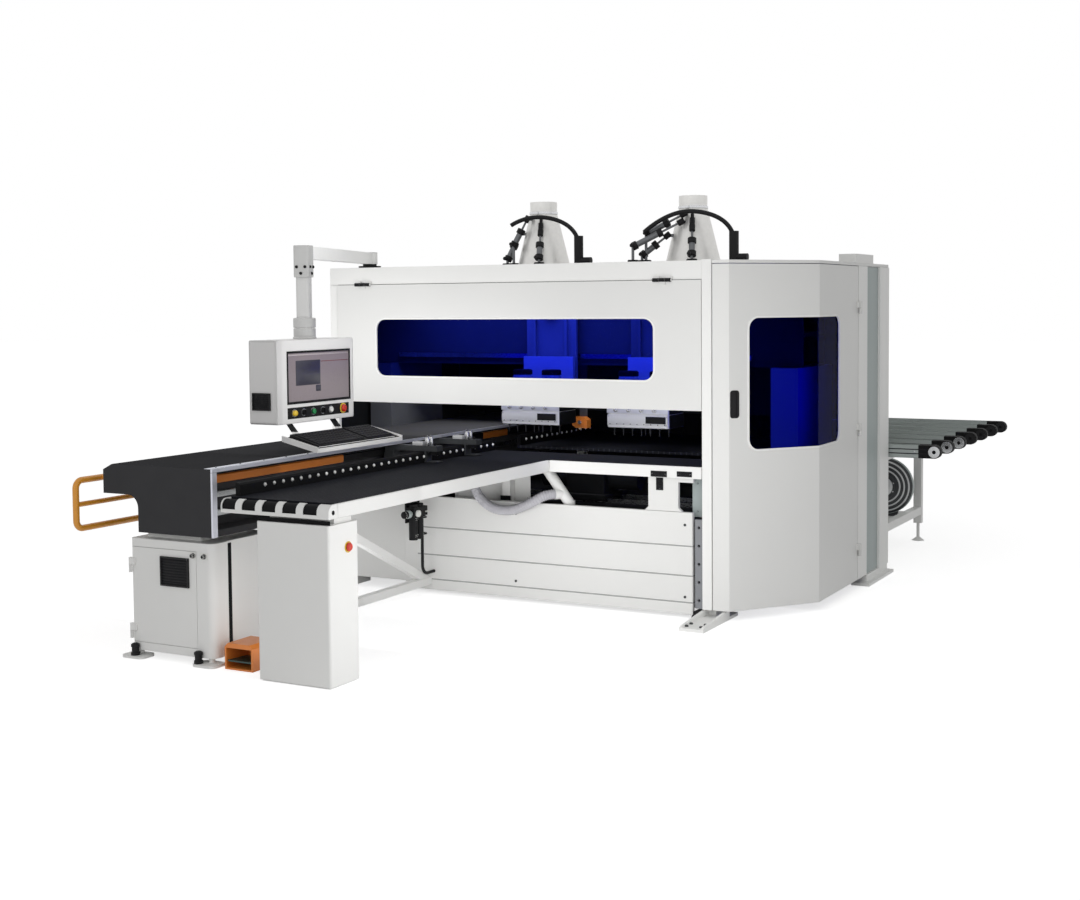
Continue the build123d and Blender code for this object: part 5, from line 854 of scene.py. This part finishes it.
class DRILL_OT_control_door(bpy.types.Operator):
    """Louvred fan grille, latch knobs and foot bolts of the control cabinet, and black strips of painted shade at
    its side step and on the leg's top
    """

    bl_idname = "drill.control_door"
    bl_label = "Control cabinet door"

    def execute(self, context):
        door, plate, front = -2222.2, -2224, -2232
        x, z, rim = (418, 614), (407, 566), 10
        grille = Shape()
        grille.block(x, (plate, door), z)
        grille.bars(x, (front, plate), z, rim)
        left = x[0] + rim
        for step in range(9):
            foot = 424 + step * 15
            slat = ((plate, foot + 9), (front + 1, foot), (front + 2, foot - 1), (plate, foot + 6))
            grille.prism([(left, *corner) for corner in slat], (176, 0, 0), 1)
        grille.screws([(side, front, height) for side in (423, 609) for height in (412, 561)], FRONT, 3, 2)
        grille.place(
            "control_door_grille", "control_door_leaf", ["black_abs", "dark_key_abs", "ground_steel"], bevel=0.8
        )
        knob = ((0, 15), (3, 15), (4, 11), (16, 12), (20, 9), (20, 0.3))
        for name, body, span, middle in (
            ("control_door_knob", "control_door_leaf", (622, 662), 646),
            ("control_pillar_knob", "machine", (690, 746), 722),
        ):
            latch = Shape()
            latch.block(span, (-2225, door), (566, 602))
            latch.turned((middle, -2225, 584), FRONT, knob, 1)
            latch.place(name, body, ["white_acetal", "black_abs"], bevel=0.8)
        # Black strips of painted shade: the shadow line at the cabinet's recessed side and the shadow band under
        # the nose trim on the leg's top.
        shade_strip = Shape()
        shade_strip.block((768.2, 769.4), (-2102, -2064), (56, 640))
        shade_strip.block((1168, 1612), (-2328, -2325), (817, 838))
        shade_strip.place("cabinet_and_leg_shade_strips", "machine", ["black_rubber"], bevel=0.3)
        bolts = Shape()
        foot = ((0, 25), (16, 25), (18, 20), (44, 20), (46, 24), (60, 24), (66, 14), (66, 0.3))
        for side in (239, 681):
            bolts.turned((side, -2240, 14), UP, foot, sides=12)
        for side in (234, 728):
            bolts.sleeve((side, -1762, 20), UP, 17.2, 25, 9, sides=6)
        bolts.place("control_foot_bolts", "machine", ["black_abs"])
        return {"FINISHED"}


class DRILL_OT_console(bpy.types.Operator):
    """Screen picture, button strip, lamp, white button, rings and fan grille of the console"""

    bl_idname = "drill.console"
    bl_label = "Console face"

    def execute(self, context):
        left, right = -1455, -838
        self.screen(left, right)
        self.button_strip(left, right - 20)
        self.fan_grille()
        self.stop_rings()
        return {"FINISHED"}

    def screen(self, left, right):
        """Black bezel and a plain picture of panes and bars."""
        foot, top, rim, bezel = 1335, 1640, 12, (688, 691.5)
        screen = Shape()
        for y in ((left, left + rim), (right - rim, right)):
            screen.block(bezel, y, (foot, top))
        for z in ((foot, foot + 14), (top - rim, top)):
            screen.block(bezel, (left + rim, right - rim), z)
        dark, pale, red = 1, 2, 3
        screen.block((688.1, 688.9), (-1370, -1136), (1440, 1584), dark)
        screen.block((688.1, 688.9), (-1180, -1132), (1400, 1436), dark)
        screen.block((688.1, 688.7), (-1128, -856), (1572, 1576), red)
        screen.block((688.1, 688.7), (-1440, -856), (1612, 1622), pale)
        screen.place(
            "console_screen_picture", "console", ["black_abs", "screen_dark", "screen_pale", "screen_red"],
            bevel=0.3,
        )

    def button_strip(self, start, end):
        """Black strip that leaves each button free, steel rings, the lamp and the white button."""
        lamp, white = -1391, -1038
        places = ((lamp, 21), (-1302, 20), (-1211, 20), (-1118, 20), (white, 20), (STOP_Y, 27))
        face, foot, top = (CONSOLE_FACE, CONSOLE_FACE + 0.7), 1252, 1316
        strip = Shape()
        for y, reach in places:
            low, high = y - reach + 1, y + reach - 1
            if low > start:
                strip.block(face, (start, low), (foot, top))
            strip.block(face, (low, high), (foot, BUTTON_ROW - reach * 0.8))
            strip.block(face, (low, high), (BUTTON_ROW + reach * 0.8, top))
            start = high
        strip.block(face, (start, end), (foot, top))
        for y, reach in places:
            strip.sleeve((CONSOLE_FACE, y, BUTTON_ROW), RIGHT, 11, reach + 2, 0.9, 1, sides=28)
        cap = CONSOLE_FACE + 0.6
        dome = ((0.2, 17), (8, 17), (14, 15), (18, 10), (19, 0.3))
        button = ((0.2, 16), (7, 16), (9, 13), (8, 11), (8, 0.3))
        strip.turned((cap, lamp, BUTTON_ROW), RIGHT, dome, 2)
        strip.turned((cap, white, BUTTON_ROW), RIGHT, button, 3)
        strip.place(
            "console_button_strip", "console", ["black_abs", "ground_steel", "yellow_acetal", "white_acetal"]
        )

    def fan_grille(self):
        """Grille on the console's left side: frame, slats and three rings of the fan guard."""
        side = -1549
        plate = side - 2.4
        x, z, rim = (517, 645), (1306, 1406), 8
        fan = Shape()
        fan.block(x, (plate, side - 0.2), z)
        fan.bars(x, (side - 9, plate), z, rim)
        for step in range(7):
            foot = 1320 + step * 11
            fan.block((x[0] + rim, x[1] - rim), (side - 7, plate), (foot, foot + 3), 1)
        for radius in (18, 30, 42):
            fan.sleeve((581, side - 8.4, 1356), BACK, radius - 1.5, radius + 1.5, 2, 1, sides=32)
        fan.place("console_fan_grille", "console", ["black_abs", "dark_key_abs"], bevel=0.6)

    def stop_rings(self):
        """Yellow rings behind the two stop buttons."""
        dish = 23.4
        for name, body, place, reach in (
            ("console_stop_ring", "console", (CONSOLE_FACE, STOP_Y, BUTTON_ROW), 31),
            ("leg_stop_ring", "machine", (1615, -2182, 692), 29),
        ):
            ring = Shape()
            # A thin dish under the mushroom leaves its 5 mm of travel free, and the rim stands round it.
            ring.sleeve(place, RIGHT, 11, dish, 0.6, sides=32)
            ring.sleeve(place, RIGHT, dish, reach, 3.5, sides=32)
            ring.place(name, body, ["yellow_acetal"])


class DRILL_OT_keyboard(bpy.types.Operator):
    """Black keyboard with rows of keys on a rubber mat on the sloping tray"""

    bl_idname = "drill.keyboard"
    bl_label = "Keyboard"

    def execute(self, context):
        pitch = context.scene.drill_sizes.key * MM
        back, front = Vector((729, 0, 1168.6)), Vector((928, 0, 1112.4))
        left, right = -1485.5, -716.5
        slope = (front - back).normalized()
        out = Vector((-slope.z, 0, slope.x))
        rim, top = slope * 1.5, out * 1.2
        outline = [back - rim + top, front + rim + top, front + rim - out * 9, back - rim - out * 18]
        board = Shape()
        board.skin([[point + Vector((0, y, 0)) for point in outline] for y in (left, right)])
        rows, gap_column = 6, 15
        row_pitch = (front - back).length / (rows + 0.6)
        columns = int((right - left - 30) / pitch)
        for row in range(rows):
            start = back + slope * (row_pitch * (row + 0.35)) + top
            column = 0
            while column < columns:
                if column == gap_column:
                    column += 1
                    continue
                # A long space bar in the last row, and double keys at the ends of two middle rows.
                span = 1
                if row == rows - 1 and column == 6:
                    span = 7
                elif row in (2, 3) and column in (0, 13):
                    span = 2
                y = left + 16 + column * pitch
                key = []
                for inset, lift in ((1.2, 0), (1.2, 4), (4, 7)):
                    low = start + slope * inset + out * lift
                    high = start + slope * (row_pitch - inset) + out * lift
                    near, far = Vector((0, y + inset, 0)), Vector((0, y + span * pitch - inset, 0))
                    key.append([low + near, high + near, high + far, low + far])
                board.skin(key, 1)
                column += span
        board.place("tray_keyboard", "console", ["black_abs", "dark_key_abs"])
        fall, tray_back, tray_top = 56 / 247, 705, 1152
        corners = ((708, -1519), (938, -1519), (938, -683), (708, -683))
        mat = Shape()
        mat.skin([
            [(x, y, tray_top - fall * (x - tray_back) + lift) for x, y in corners] for lift in (0.2, 2)
        ])
        mat.place("tray_mat", "console", ["black_rubber"], bevel=0.6)
        return {"FINISHED"}


class DRILL_OT_boom(bpy.types.Operator):
    """Joint cover, end cap and bolts of the swing boom"""

    bl_idname = "drill.boom"
    bl_label = "Boom covers"

    def execute(self, context):
        run = Vector((390, -1250, 0)).normalized()
        turn = Matrix((
            (run.x, -run.y, 0, ARM_DROP[0]), (run.y, run.x, 0, ARM_DROP[1]), (0, 0, 1, 0), (0, 0, 0, 1),
        ))
        width = 97
        pairs = rounded((0, 0), width, width, 16, 6)
        cover = Shape(turn)
        cover.skin([
            [(x * share, y * share, z) for x, y in pairs]
            for share, z in ((0.96, 2067), (1, 2073), (1, 2247), (0.97, 2254))
        ])
        for shift, z in ((-26, 2128), (26, 2128), (0, 2090)):
            cover.screws([(width / 2, shift, z)], RIGHT, 9, 1)
            cover.screws([(shift, width / 2, z)], BACK, 9, 1)
        cover.place("boom_joint_cover", "arm", ["anodised_joint", "black_abs"])
        hub = Shape()
        hub.turned((200, 100, 2249), UP, ((0, 53), (2.5, 53), (5, 49), (5.5, 20), (5.5, 0.3)))
        hub.place("boom_hub_cap", "arm", ["anodised_joint"])
        neck = Shape()
        neck.sleeve((*ARM_DROP, 1771), UP, 57.4, 66, 56, sides=36)
        neck.sleeve((*ARM_DROP, 1718), UP, 62.4, 65, 48, sides=36)
        neck.sleeve((*ARM_DROP, 1706), UP, 62.4, 69, 10, 1, sides=36)
        neck.place("console_neck_rings", "console", ["anodised_joint", "anodised_boom"])
        return {"FINISHED"}


class DRILL_OT_drilling_heads(bpy.types.Operator):
    """Front plates, guard slots, motor fins and fittings of the drilling heads"""

    bl_idname = "drill.drilling_heads"
    bl_label = "Drilling heads"

    def execute(self, context):
        for side, centre in (("left", 1215), ("right", 2003)):
            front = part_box(f"{side}_drill_block")[0].y * MM + PLAN_Y
            self.front_plate(side, centre, front)
            self.motor_fins(side, centre, front + 109)
        unit = Shape()
        unit.block((1340, 1420), (881, 885), (1062, 1106))
        unit.turned((1385, 880.5, 1084), FRONT, ((0, 15), (8, 15), (10, 12), (10, 0.3)), 1)
        unit.turned((1372, 905, 1045), DOWN, ((0, 9), (9, 9), (12, 5), (12, 0.3)), 2)
        unit.place("orange_unit_front", "machine", ["orange_enamel", "bright_steel", "white_acetal"], bevel=1.5)
        return {"FINISHED"}

    def front_plate(self, side, centre, front):
        """Milled plate with a black field, plugs and screws, and a rail with four bolts."""
        plate, rail = front - 4, front - 2
        face = Shape()
        face.block((centre - 212, centre + 212), (plate, front + 0.5), (1112, 1176))
        face.block((centre + 60, centre + 200), (front - 9, plate), (1126, 1172), 1)
        for step in range(9):
            x = centre - 192 + step * 48
            face.turned((x, plate, 1120), FRONT, ((0, 5), (3, 5), (4, 4), (4, 0.2)), 1, sides=12)
        corners = [(x, plate, z) for x in (centre - 204, centre + 204) for z in (1119, 1169)]
        face.screws(corners, FRONT, 5, 2)
        face.block((centre - 216, centre + 216), (rail, front + 2), (1188, 1232), 3)
        bolt = ((0, 14), (12, 14), (12, 8), (26, 8), (26, 0.3))
        for step in range(4):
            face.turned((centre - 150 + step * 90, rail, 1210), FRONT, bolt, 2, sides=16)
        face.place(
            f"{side}_head_front", f"{side}_block",
            ["milled_aluminium", "black_abs", "bright_steel", "brushed_aluminium"], bevel=1.0,
        )

    def motor_fins(self, side, centre, depth):
        """Six cooling rings and a black cap on each of a head's two motors."""
        motor = Shape()
        for x in (centre - 110, centre + 110):
            for step in range(6):
                motor.sleeve((x, depth, 1285 + step * 24), UP, 61.5, 67, 8, sides=36)
            motor.turned((x, depth, 1450), UP, ((-26, 66), (0, 66), (8, 58), (8, 0.3)), 1, sides=36)
        motor.place(f"{side}_head_motor_fins", f"{side}_block", ["grey_powder_coat", "black_abs"])


class DRILL_OT_clamps(bpy.types.Operator):
    """Air cylinders, rods, guide blocks and fittings of the panel clamps"""

    bl_idname = "drill.clamps"
    bl_label = "Clamps"

    def execute(self, context):
        cylinder = ((0, 15), (44, 15), (46, 11), (52, 11), (52, 0.3))
        fitting = ((0, 5), (9, 5), (11, 3), (11, 0.2))
        for name, y in (("front", -420), ("rear", 60)):
            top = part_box(f"{name}_clamp_carriage")[1].z * MM
            clamp = Shape()
            for shift in (y - 22, y + 22):
                clamp.turned((985, shift, top), UP, cylinder, 0)
                clamp.turned((985, shift, top + 52), UP, fitting, 1, sides=12)
            clamp.block((880, 955), (y - 30, y + 30), (top, top + 22), 2)
            clamp.screws([(x, shift, top + 22) for x in (890, 945) for shift in (y - 22, y + 22)], UP, 5)
            clamp.block((1000, 1010), (y - 34, y - 28), (top - 40, top + 20), 1)
            clamp.place(
                f"{name}_clamp_fittings", f"{name}_clamp", ["bright_steel", "black_abs", "milled_aluminium"],
                bevel=1.0,
            )
        return {"FINISHED"}


class DRILL_OT_air_unit(bpy.types.Operator):
    """Pressure gauge, regulator knob, bowl rings and lever of the air service unit"""

    bl_idname = "drill.air_unit"
    bl_label = "Air service unit"

    def execute(self, context):
        middle, row = 745, 562
        gauge = ((0, 22), (14, 22), (16, 19), (14, 18), (14, 0.3))
        collar = ((0, 20), (10, 20), (12, 26), (40, 26), (44, 22), (44, 0.3))
        knob = ((0, 24), (26, 24), (30, 18), (30, 0.3))
        fittings = Shape()
        fittings.turned((775.2, -240, row), RIGHT, gauge, 0)
        fittings.turned((middle, -280.2, row), FRONT, collar, 1)
        fittings.turned((middle, -324.3, row), FRONT, knob, 2)
        for y in (-240, -140):
            for z in (412, 520):
                fittings.sleeve((middle, y, z), UP, 28.2, 31, 12, 2)
        fittings.block((776, 782), (-150, -118), (560, 568), 0)
        fittings.place("air_unit_fittings", "machine", ["white_acetal", "grey_powder_coat", "black_abs"], bevel=0.8)
        return {"FINISHED"}


class DRILL_OT_dust_hoods(bpy.types.Operator):
    """Hose clamps, flange screws and cylinder caps of the dust hoods"""

    bl_idname = "drill.dust_hoods"
    bl_label = "Dust hoods"

    def execute(self, context):
        # Cylinders of each hood: angle of the head and the foot, share of the cone's height, foot's reach and lift.
        hoods = (
            (1265, ((245, 225, 0.89, 211, 134), (208, 212, 0.62, 245, 40), (290, 290, 0.62, 238, 40))),
            (2340, (
                (267, 215, 0.87, 305, 183), (262, 222, 0.73, 402, 104), (219, 212, 0.5, 328, 48),
                (290, 290, 0.62, 238, 40),
            )),
        )
        flange = 188
        port = ((0, 8), (16, 8), (16, 12), (30, 12), (30, 0.3))
        fittings = Shape()
        for hood, cylinders in hoods:
            fittings.sleeve((hood, HOOD_Y, 2494), UP, 90.5, 96, 16, 0, sides=40)
            fittings.block((hood - 12, hood + 12), (HOOD_Y - 108, HOOD_Y - 94), (2495, 2509), 0)
            turns = [math.radians(15 + step * 30) for step in range(12)]
            ring = [(hood + flange * math.cos(a), HOOD_Y + flange * math.sin(a), ROOF_TOP + 5) for a in turns]
            fittings.screws(ring, UP, 6, 0)
            for head_angle, foot_angle, rise, reach, lift in cylinders:
                head = self.around(hood, head_angle, 213 - 85 * rise, 350 * rise)
                foot = self.around(hood, foot_angle, reach, lift)
                lean = (head - foot).normalized()
                length = (head - foot).length
                fittings.sleeve(foot - lean * 3, lean, 19.2, 27, 34, 1)
                fittings.sleeve(foot + lean * (length * 0.6 - 30), lean, 19.2, 27, 34, 1)
                fittings.sleeve(head - lean * 24, lean, 7.2, 19, 46, 1, sides=16)
                fittings.turned(foot + lean * 14 - Vector((0, 24, 0)), FRONT, port, 1, sides=12)
                fittings.sleeve((foot.x, foot.y, ROOF_TOP + 5.3), UP, 9.3, 34, 16, 1)
            # Only the last cylinder of a hood carries a silencer on its head.
            fittings.turned(head + lean * 23, lean, ((0, 17), (44, 17), (48, 11), (72, 11), (72, 0.3)), 1)
        fittings.place("dust_hood_fittings", "machine", ["bright_steel", "black_abs"])
        return {"FINISHED"}

    def around(self, hood, angle, reach, lift):
        """Point round a hood's axis, at a height over the roof."""
        turn = math.radians(angle)
        return Vector((hood + reach * math.cos(turn), HOOD_Y + reach * math.sin(turn), ROOF_TOP + lift))


class DRILL_OT_outfeed(bpy.types.Operator):
    """Black strips of painted groove shade on the profiles, end discs and bolts of the outfeed, and fins of the
    blower
    """

    bl_idname = "drill.outfeed"
    bl_label = "Outfeed"

    def execute(self, context):
        axis, half = 850, 34
        trim = Shape()
        for step in range(7):
            y = 2130 + 380 * step
            disc = 1 if step < 3 else 0
            for face, out in ((y - half, -1), (y + half, 1)):
                way = (0, out, 0)
                # Flat black strips stand for the profile's grooves: painted shade of the recesses.
                for z in (832, 862):
                    trim.block((1010, 3460), sorted((face, face + out * 0.8)), (z, z + 7), 0)
                for x in (960.3, 3513.7):
                    trim.sleeve((x, face, axis), way, 13, 40, 3, disc, sides=32)
                trim.screws([(x, face, axis) for x in (1100, 1800, 2700, 3380)], way, 7, 1)
        trim.place("outfeed_profile_trim", "machine", ["black_abs", "bright_steel"])
        self.blower()
        return {"FINISHED"}

    def blower(self):
        """Motor fins, front cap with screws, and rings of the ring blower."""
        x, z, cap = 2865, 459, 3174.8
        centre = Vector((x, 3330, z))
        blower = Shape()
        for step in range(20):
            angle = math.radians(step * 18)
            arm = Vector((math.cos(angle), 0, math.sin(angle)))
            side = Vector((-math.sin(angle), 0, math.cos(angle)))
            fin = ((95, 3), (112, 2), (112, -2), (95, -3))
            blower.prism([centre + arm * reach + side * shift for reach, shift in fin], (0, 140, 0), 0)
        blower.turned((x, cap, z), FRONT, ((0, 76), (6, 74), (10, 56), (10, 0.3)), 1)
        turns = [math.radians(angle + 20) for angle in range(0, 360, 45)]
        blower.screws([(x + 86 * math.cos(a), 3174.9, z + 86 * math.sin(a)) for a in turns], FRONT, 6, 2)
        blower.sleeve((x, 3231, z), BACK, 215.3, 219, 38, 0, sides=56)
        for radius, y in ((118, 3199), (152, 3204), (186, 3211)):
            blower.sleeve((x, y, z), BACK, radius, radius + 11, 9, 1, sides=56)
        blower.place("ring_blower_fins", "machine", ["grey_powder_coat", "milled_aluminium", "bright_steel"])


class DRILL_OT_stage(bpy.types.Operator):
    """Pale floor, soft light and the camera at the photograph's viewing angle"""

    bl_idname = "drill.stage"
    bl_label = "Stage"

    def execute(self, context):
        self.floor()
        self.light(context)
        self.camera(context)
        context.scene.view_settings.view_transform = "Standard"
        return {"FINISHED"}

    def floor(self):
        """Seamless paper: white, matt, with a faint mottle, and it keeps the machine's shadow."""
        tree, output = new_finish("studio_paper")
        place = add_node(tree, "ShaderNodeTexCoord").outputs["Object"]
        mottle_mm = 1430
        mottle = add_node(tree, "ShaderNodeTexNoise", {"Vector": place, "Scale": MM / mottle_mm, "Detail": 2.0})
        dark, pale = shade("#E7E7E7"), shade("#EAEAEA")
        tone = add_node(
            tree, "ShaderNodeMix", {"Factor": mottle.outputs["Fac"], 6: dark, 7: pale}, data_type="RGBA"
        )
        paper = add_node(tree, "ShaderNodeBsdfDiffuse", {"Color": tone.outputs[2]})
        glow = add_node(tree, "ShaderNodeEmission", {"Color": shade("#FFFFFF"), "Strength": 0.66})
        lifted = add_node(tree, "ShaderNodeAddShader", {0: paper.outputs[0], 1: glow.outputs[0]})
        shown = add_node(
            tree, "ShaderNodeMixShader", {0: background_rays(tree), 1: paper.outputs[0], 2: lifted.outputs[0]}
        )
        tree.links.new(shown.outputs[0], output.inputs["Surface"])
        data = bpy.data.meshes.new("studio_floor")
        half = 60.0
        corners = [(-half, -half, 0), (half, -half, 0), (half, half, 0), (-half, half, 0)]
        data.from_pydata(corners, [], [(0, 1, 2, 3)])
        data.materials.append(finishes["studio_paper"])
        floor = bpy.data.objects.new("studio_floor", data)
        bpy.context.scene.collection.objects.link(floor)

    def light(self, context):
        """White surroundings, soft boxes before and beside the machine, and a work light inside."""
        world = bpy.data.worlds.new("studio")
        context.scene.world = world
        world.use_nodes = True
        tree = world.node_tree
        tree.nodes.clear()
        # The surroundings are white to look at, and light the machine with less than half of that.
        strength = add_node(
            tree, "ShaderNodeMapRange", {"Value": background_rays(tree), "To Min": 0.445, "To Max": 1.0}
        )
        back = add_node(
            tree, "ShaderNodeBackground", {"Color": shade("#FFFFFF"), "Strength": strength.outputs["Result"]}
        )
        output = add_node(tree, "ShaderNodeOutputWorld")
        tree.links.new(back.outputs[0], output.inputs["Surface"])
        wide = context.scene.drill_sizes.front_light
        for name, place, aim, size, power in (
            ("front_soft_box", (3600 - wide * MM / 2, -1500, 1150), BACK, (wide, 3.0), 22),
            ("far_soft_box", (800, -8800, 2400), (0, 1, -0.15), (5.0, 3.0), 35),
            ("corner_soft_box", (3700, -1500, 1150), (-0.35, 1, 0), (0.8, 2.3), 4.8),
            ("hatch_soft_box", (710, -640, 1500), (0, 1, -0.1), (1.6, 0.7), 2.2),
            ("low_soft_box", (1400, -900, 380), (0, 1, 0.1), (1.8, 0.5), 2.2),
            ("side_soft_box", (2700, -2100, 600), LEFT, (1.3, 1.3), 6.0),
            ("cabinet_soft_box", (1120, -2300, 330), LEFT, (0.4, 0.5), 0.34),
            ("console_soft_box", (1500, -1250, 1560), LEFT, (0.6, 0.6), 1.4),
            ("arm_soft_box", (1250, -1000, 2450), LEFT, (0.9, 0.4), 1.6),
            ("head_soft_box", (1620, 150, 1150), BACK, (1.5, 0.1), 0.8),
            ("work_light", (1350, 500, 2090), (0, 0.15, -1), (2.4, 0.3), 15.5),
        ):
            area = bpy.data.lights.new(name, "AREA")
            area.shape = "RECTANGLE"
            area.size, area.size_y = size
            area.energy = power
            area.spread = math.radians(140)
            lamp = bpy.data.objects.new(name, area)
            lamp.location = spot(place)
            lamp.rotation_euler = Vector(aim).to_track_quat("-Z", "Y").to_euler()
            lamp.visible_camera = False
            lamp.visible_glossy = False
            lamp.visible_transmission = False
            context.scene.collection.objects.link(lamp)

    def camera(self, context):
        """Camera fitted to the photograph's lines, for a frame of 1080 by 900."""
        eye = (5986.592, -8302.894, 1901.471)
        yaw, pitch, roll = (math.radians(angle) for angle in (28.134, 3.106, -0.48))
        ahead = Vector((-math.sin(yaw), math.cos(yaw), 0))
        right = Vector((math.cos(yaw), math.sin(yaw), 0))
        up = Vector(UP)
        look = ahead * math.cos(pitch) - up * math.sin(pitch)
        rise = up * math.cos(pitch) + ahead * math.sin(pitch)
        across = right * math.cos(roll) + rise * math.sin(roll)
        upright = rise * math.cos(roll) - right * math.sin(roll)
        view = bpy.data.cameras.new("photo_camera")
        view.sensor_fit = "HORIZONTAL"
        view.sensor_width = 36
        view.lens = 49.979
        view.shift_y = -0.0603
        view.clip_end = 200
        camera = bpy.data.objects.new("photo_camera", view)
        turn = Matrix((across, upright, -look)).transposed().to_4x4()
        camera.matrix_world = Matrix.Translation(spot(eye)) @ turn
        context.scene.collection.objects.link(camera)
        context.scene.camera = camera


OPERATORS = (
    DRILL_OT_finishes,
    DRILL_OT_suction_hose,
    DRILL_OT_window_trim,
    DRILL_OT_cover_trim,
    DRILL_OT_inner_sheets,
    DRILL_OT_fence_rollers,
    DRILL_OT_control_door,
    DRILL_OT_console,
    DRILL_OT_keyboard,
    DRILL_OT_boom,
    DRILL_OT_drilling_heads,
    DRILL_OT_clamps,
    DRILL_OT_air_unit,
    DRILL_OT_dust_hoods,
    DRILL_OT_outfeed,
    DRILL_OT_stage,
)


class DRILL_PT_sidebar(bpy.types.Panel):
    """Sidebar list of the machine's sizes, colours and pieces"""

    bl_idname = "DRILL_PT_sidebar"
    bl_label = "Panel drilling machine"
    bl_space_type = "VIEW_3D"
    bl_region_type = "UI"
    bl_category = "Drilling"

    def draw(self, context):
        for group in (context.scene.drill_sizes, context.scene.drill_colours):
            box = self.layout.box()
            for name in group.__annotations__:
                box.prop(group, name)
        for operator in OPERATORS:
            self.layout.operator(operator.bl_idname)


CLASSES = (DrillColours, DrillSizes, *OPERATORS, DRILL_PT_sidebar)


def register():
    """Register the classes and hang the settings on the scene."""
    for entry in CLASSES:
        bpy.utils.register_class(entry)
    bpy.types.Scene.drill_colours = bpy.props.PointerProperty(type=DrillColours)
    bpy.types.Scene.drill_sizes = bpy.props.PointerProperty(type=DrillSizes)


def unregister():
    """Take the settings and the classes away again."""
    del bpy.types.Scene.drill_sizes
    del bpy.types.Scene.drill_colours
    for entry in reversed(CLASSES):
        bpy.utils.unregister_class(entry)


def main():
    """Make the pieces in order."""
    register()
    for operator in OPERATORS:
        group, name = operator.bl_idname.split(".")
        getattr(getattr(bpy.ops, group), name)()


if __name__ == "__main__":
    main()
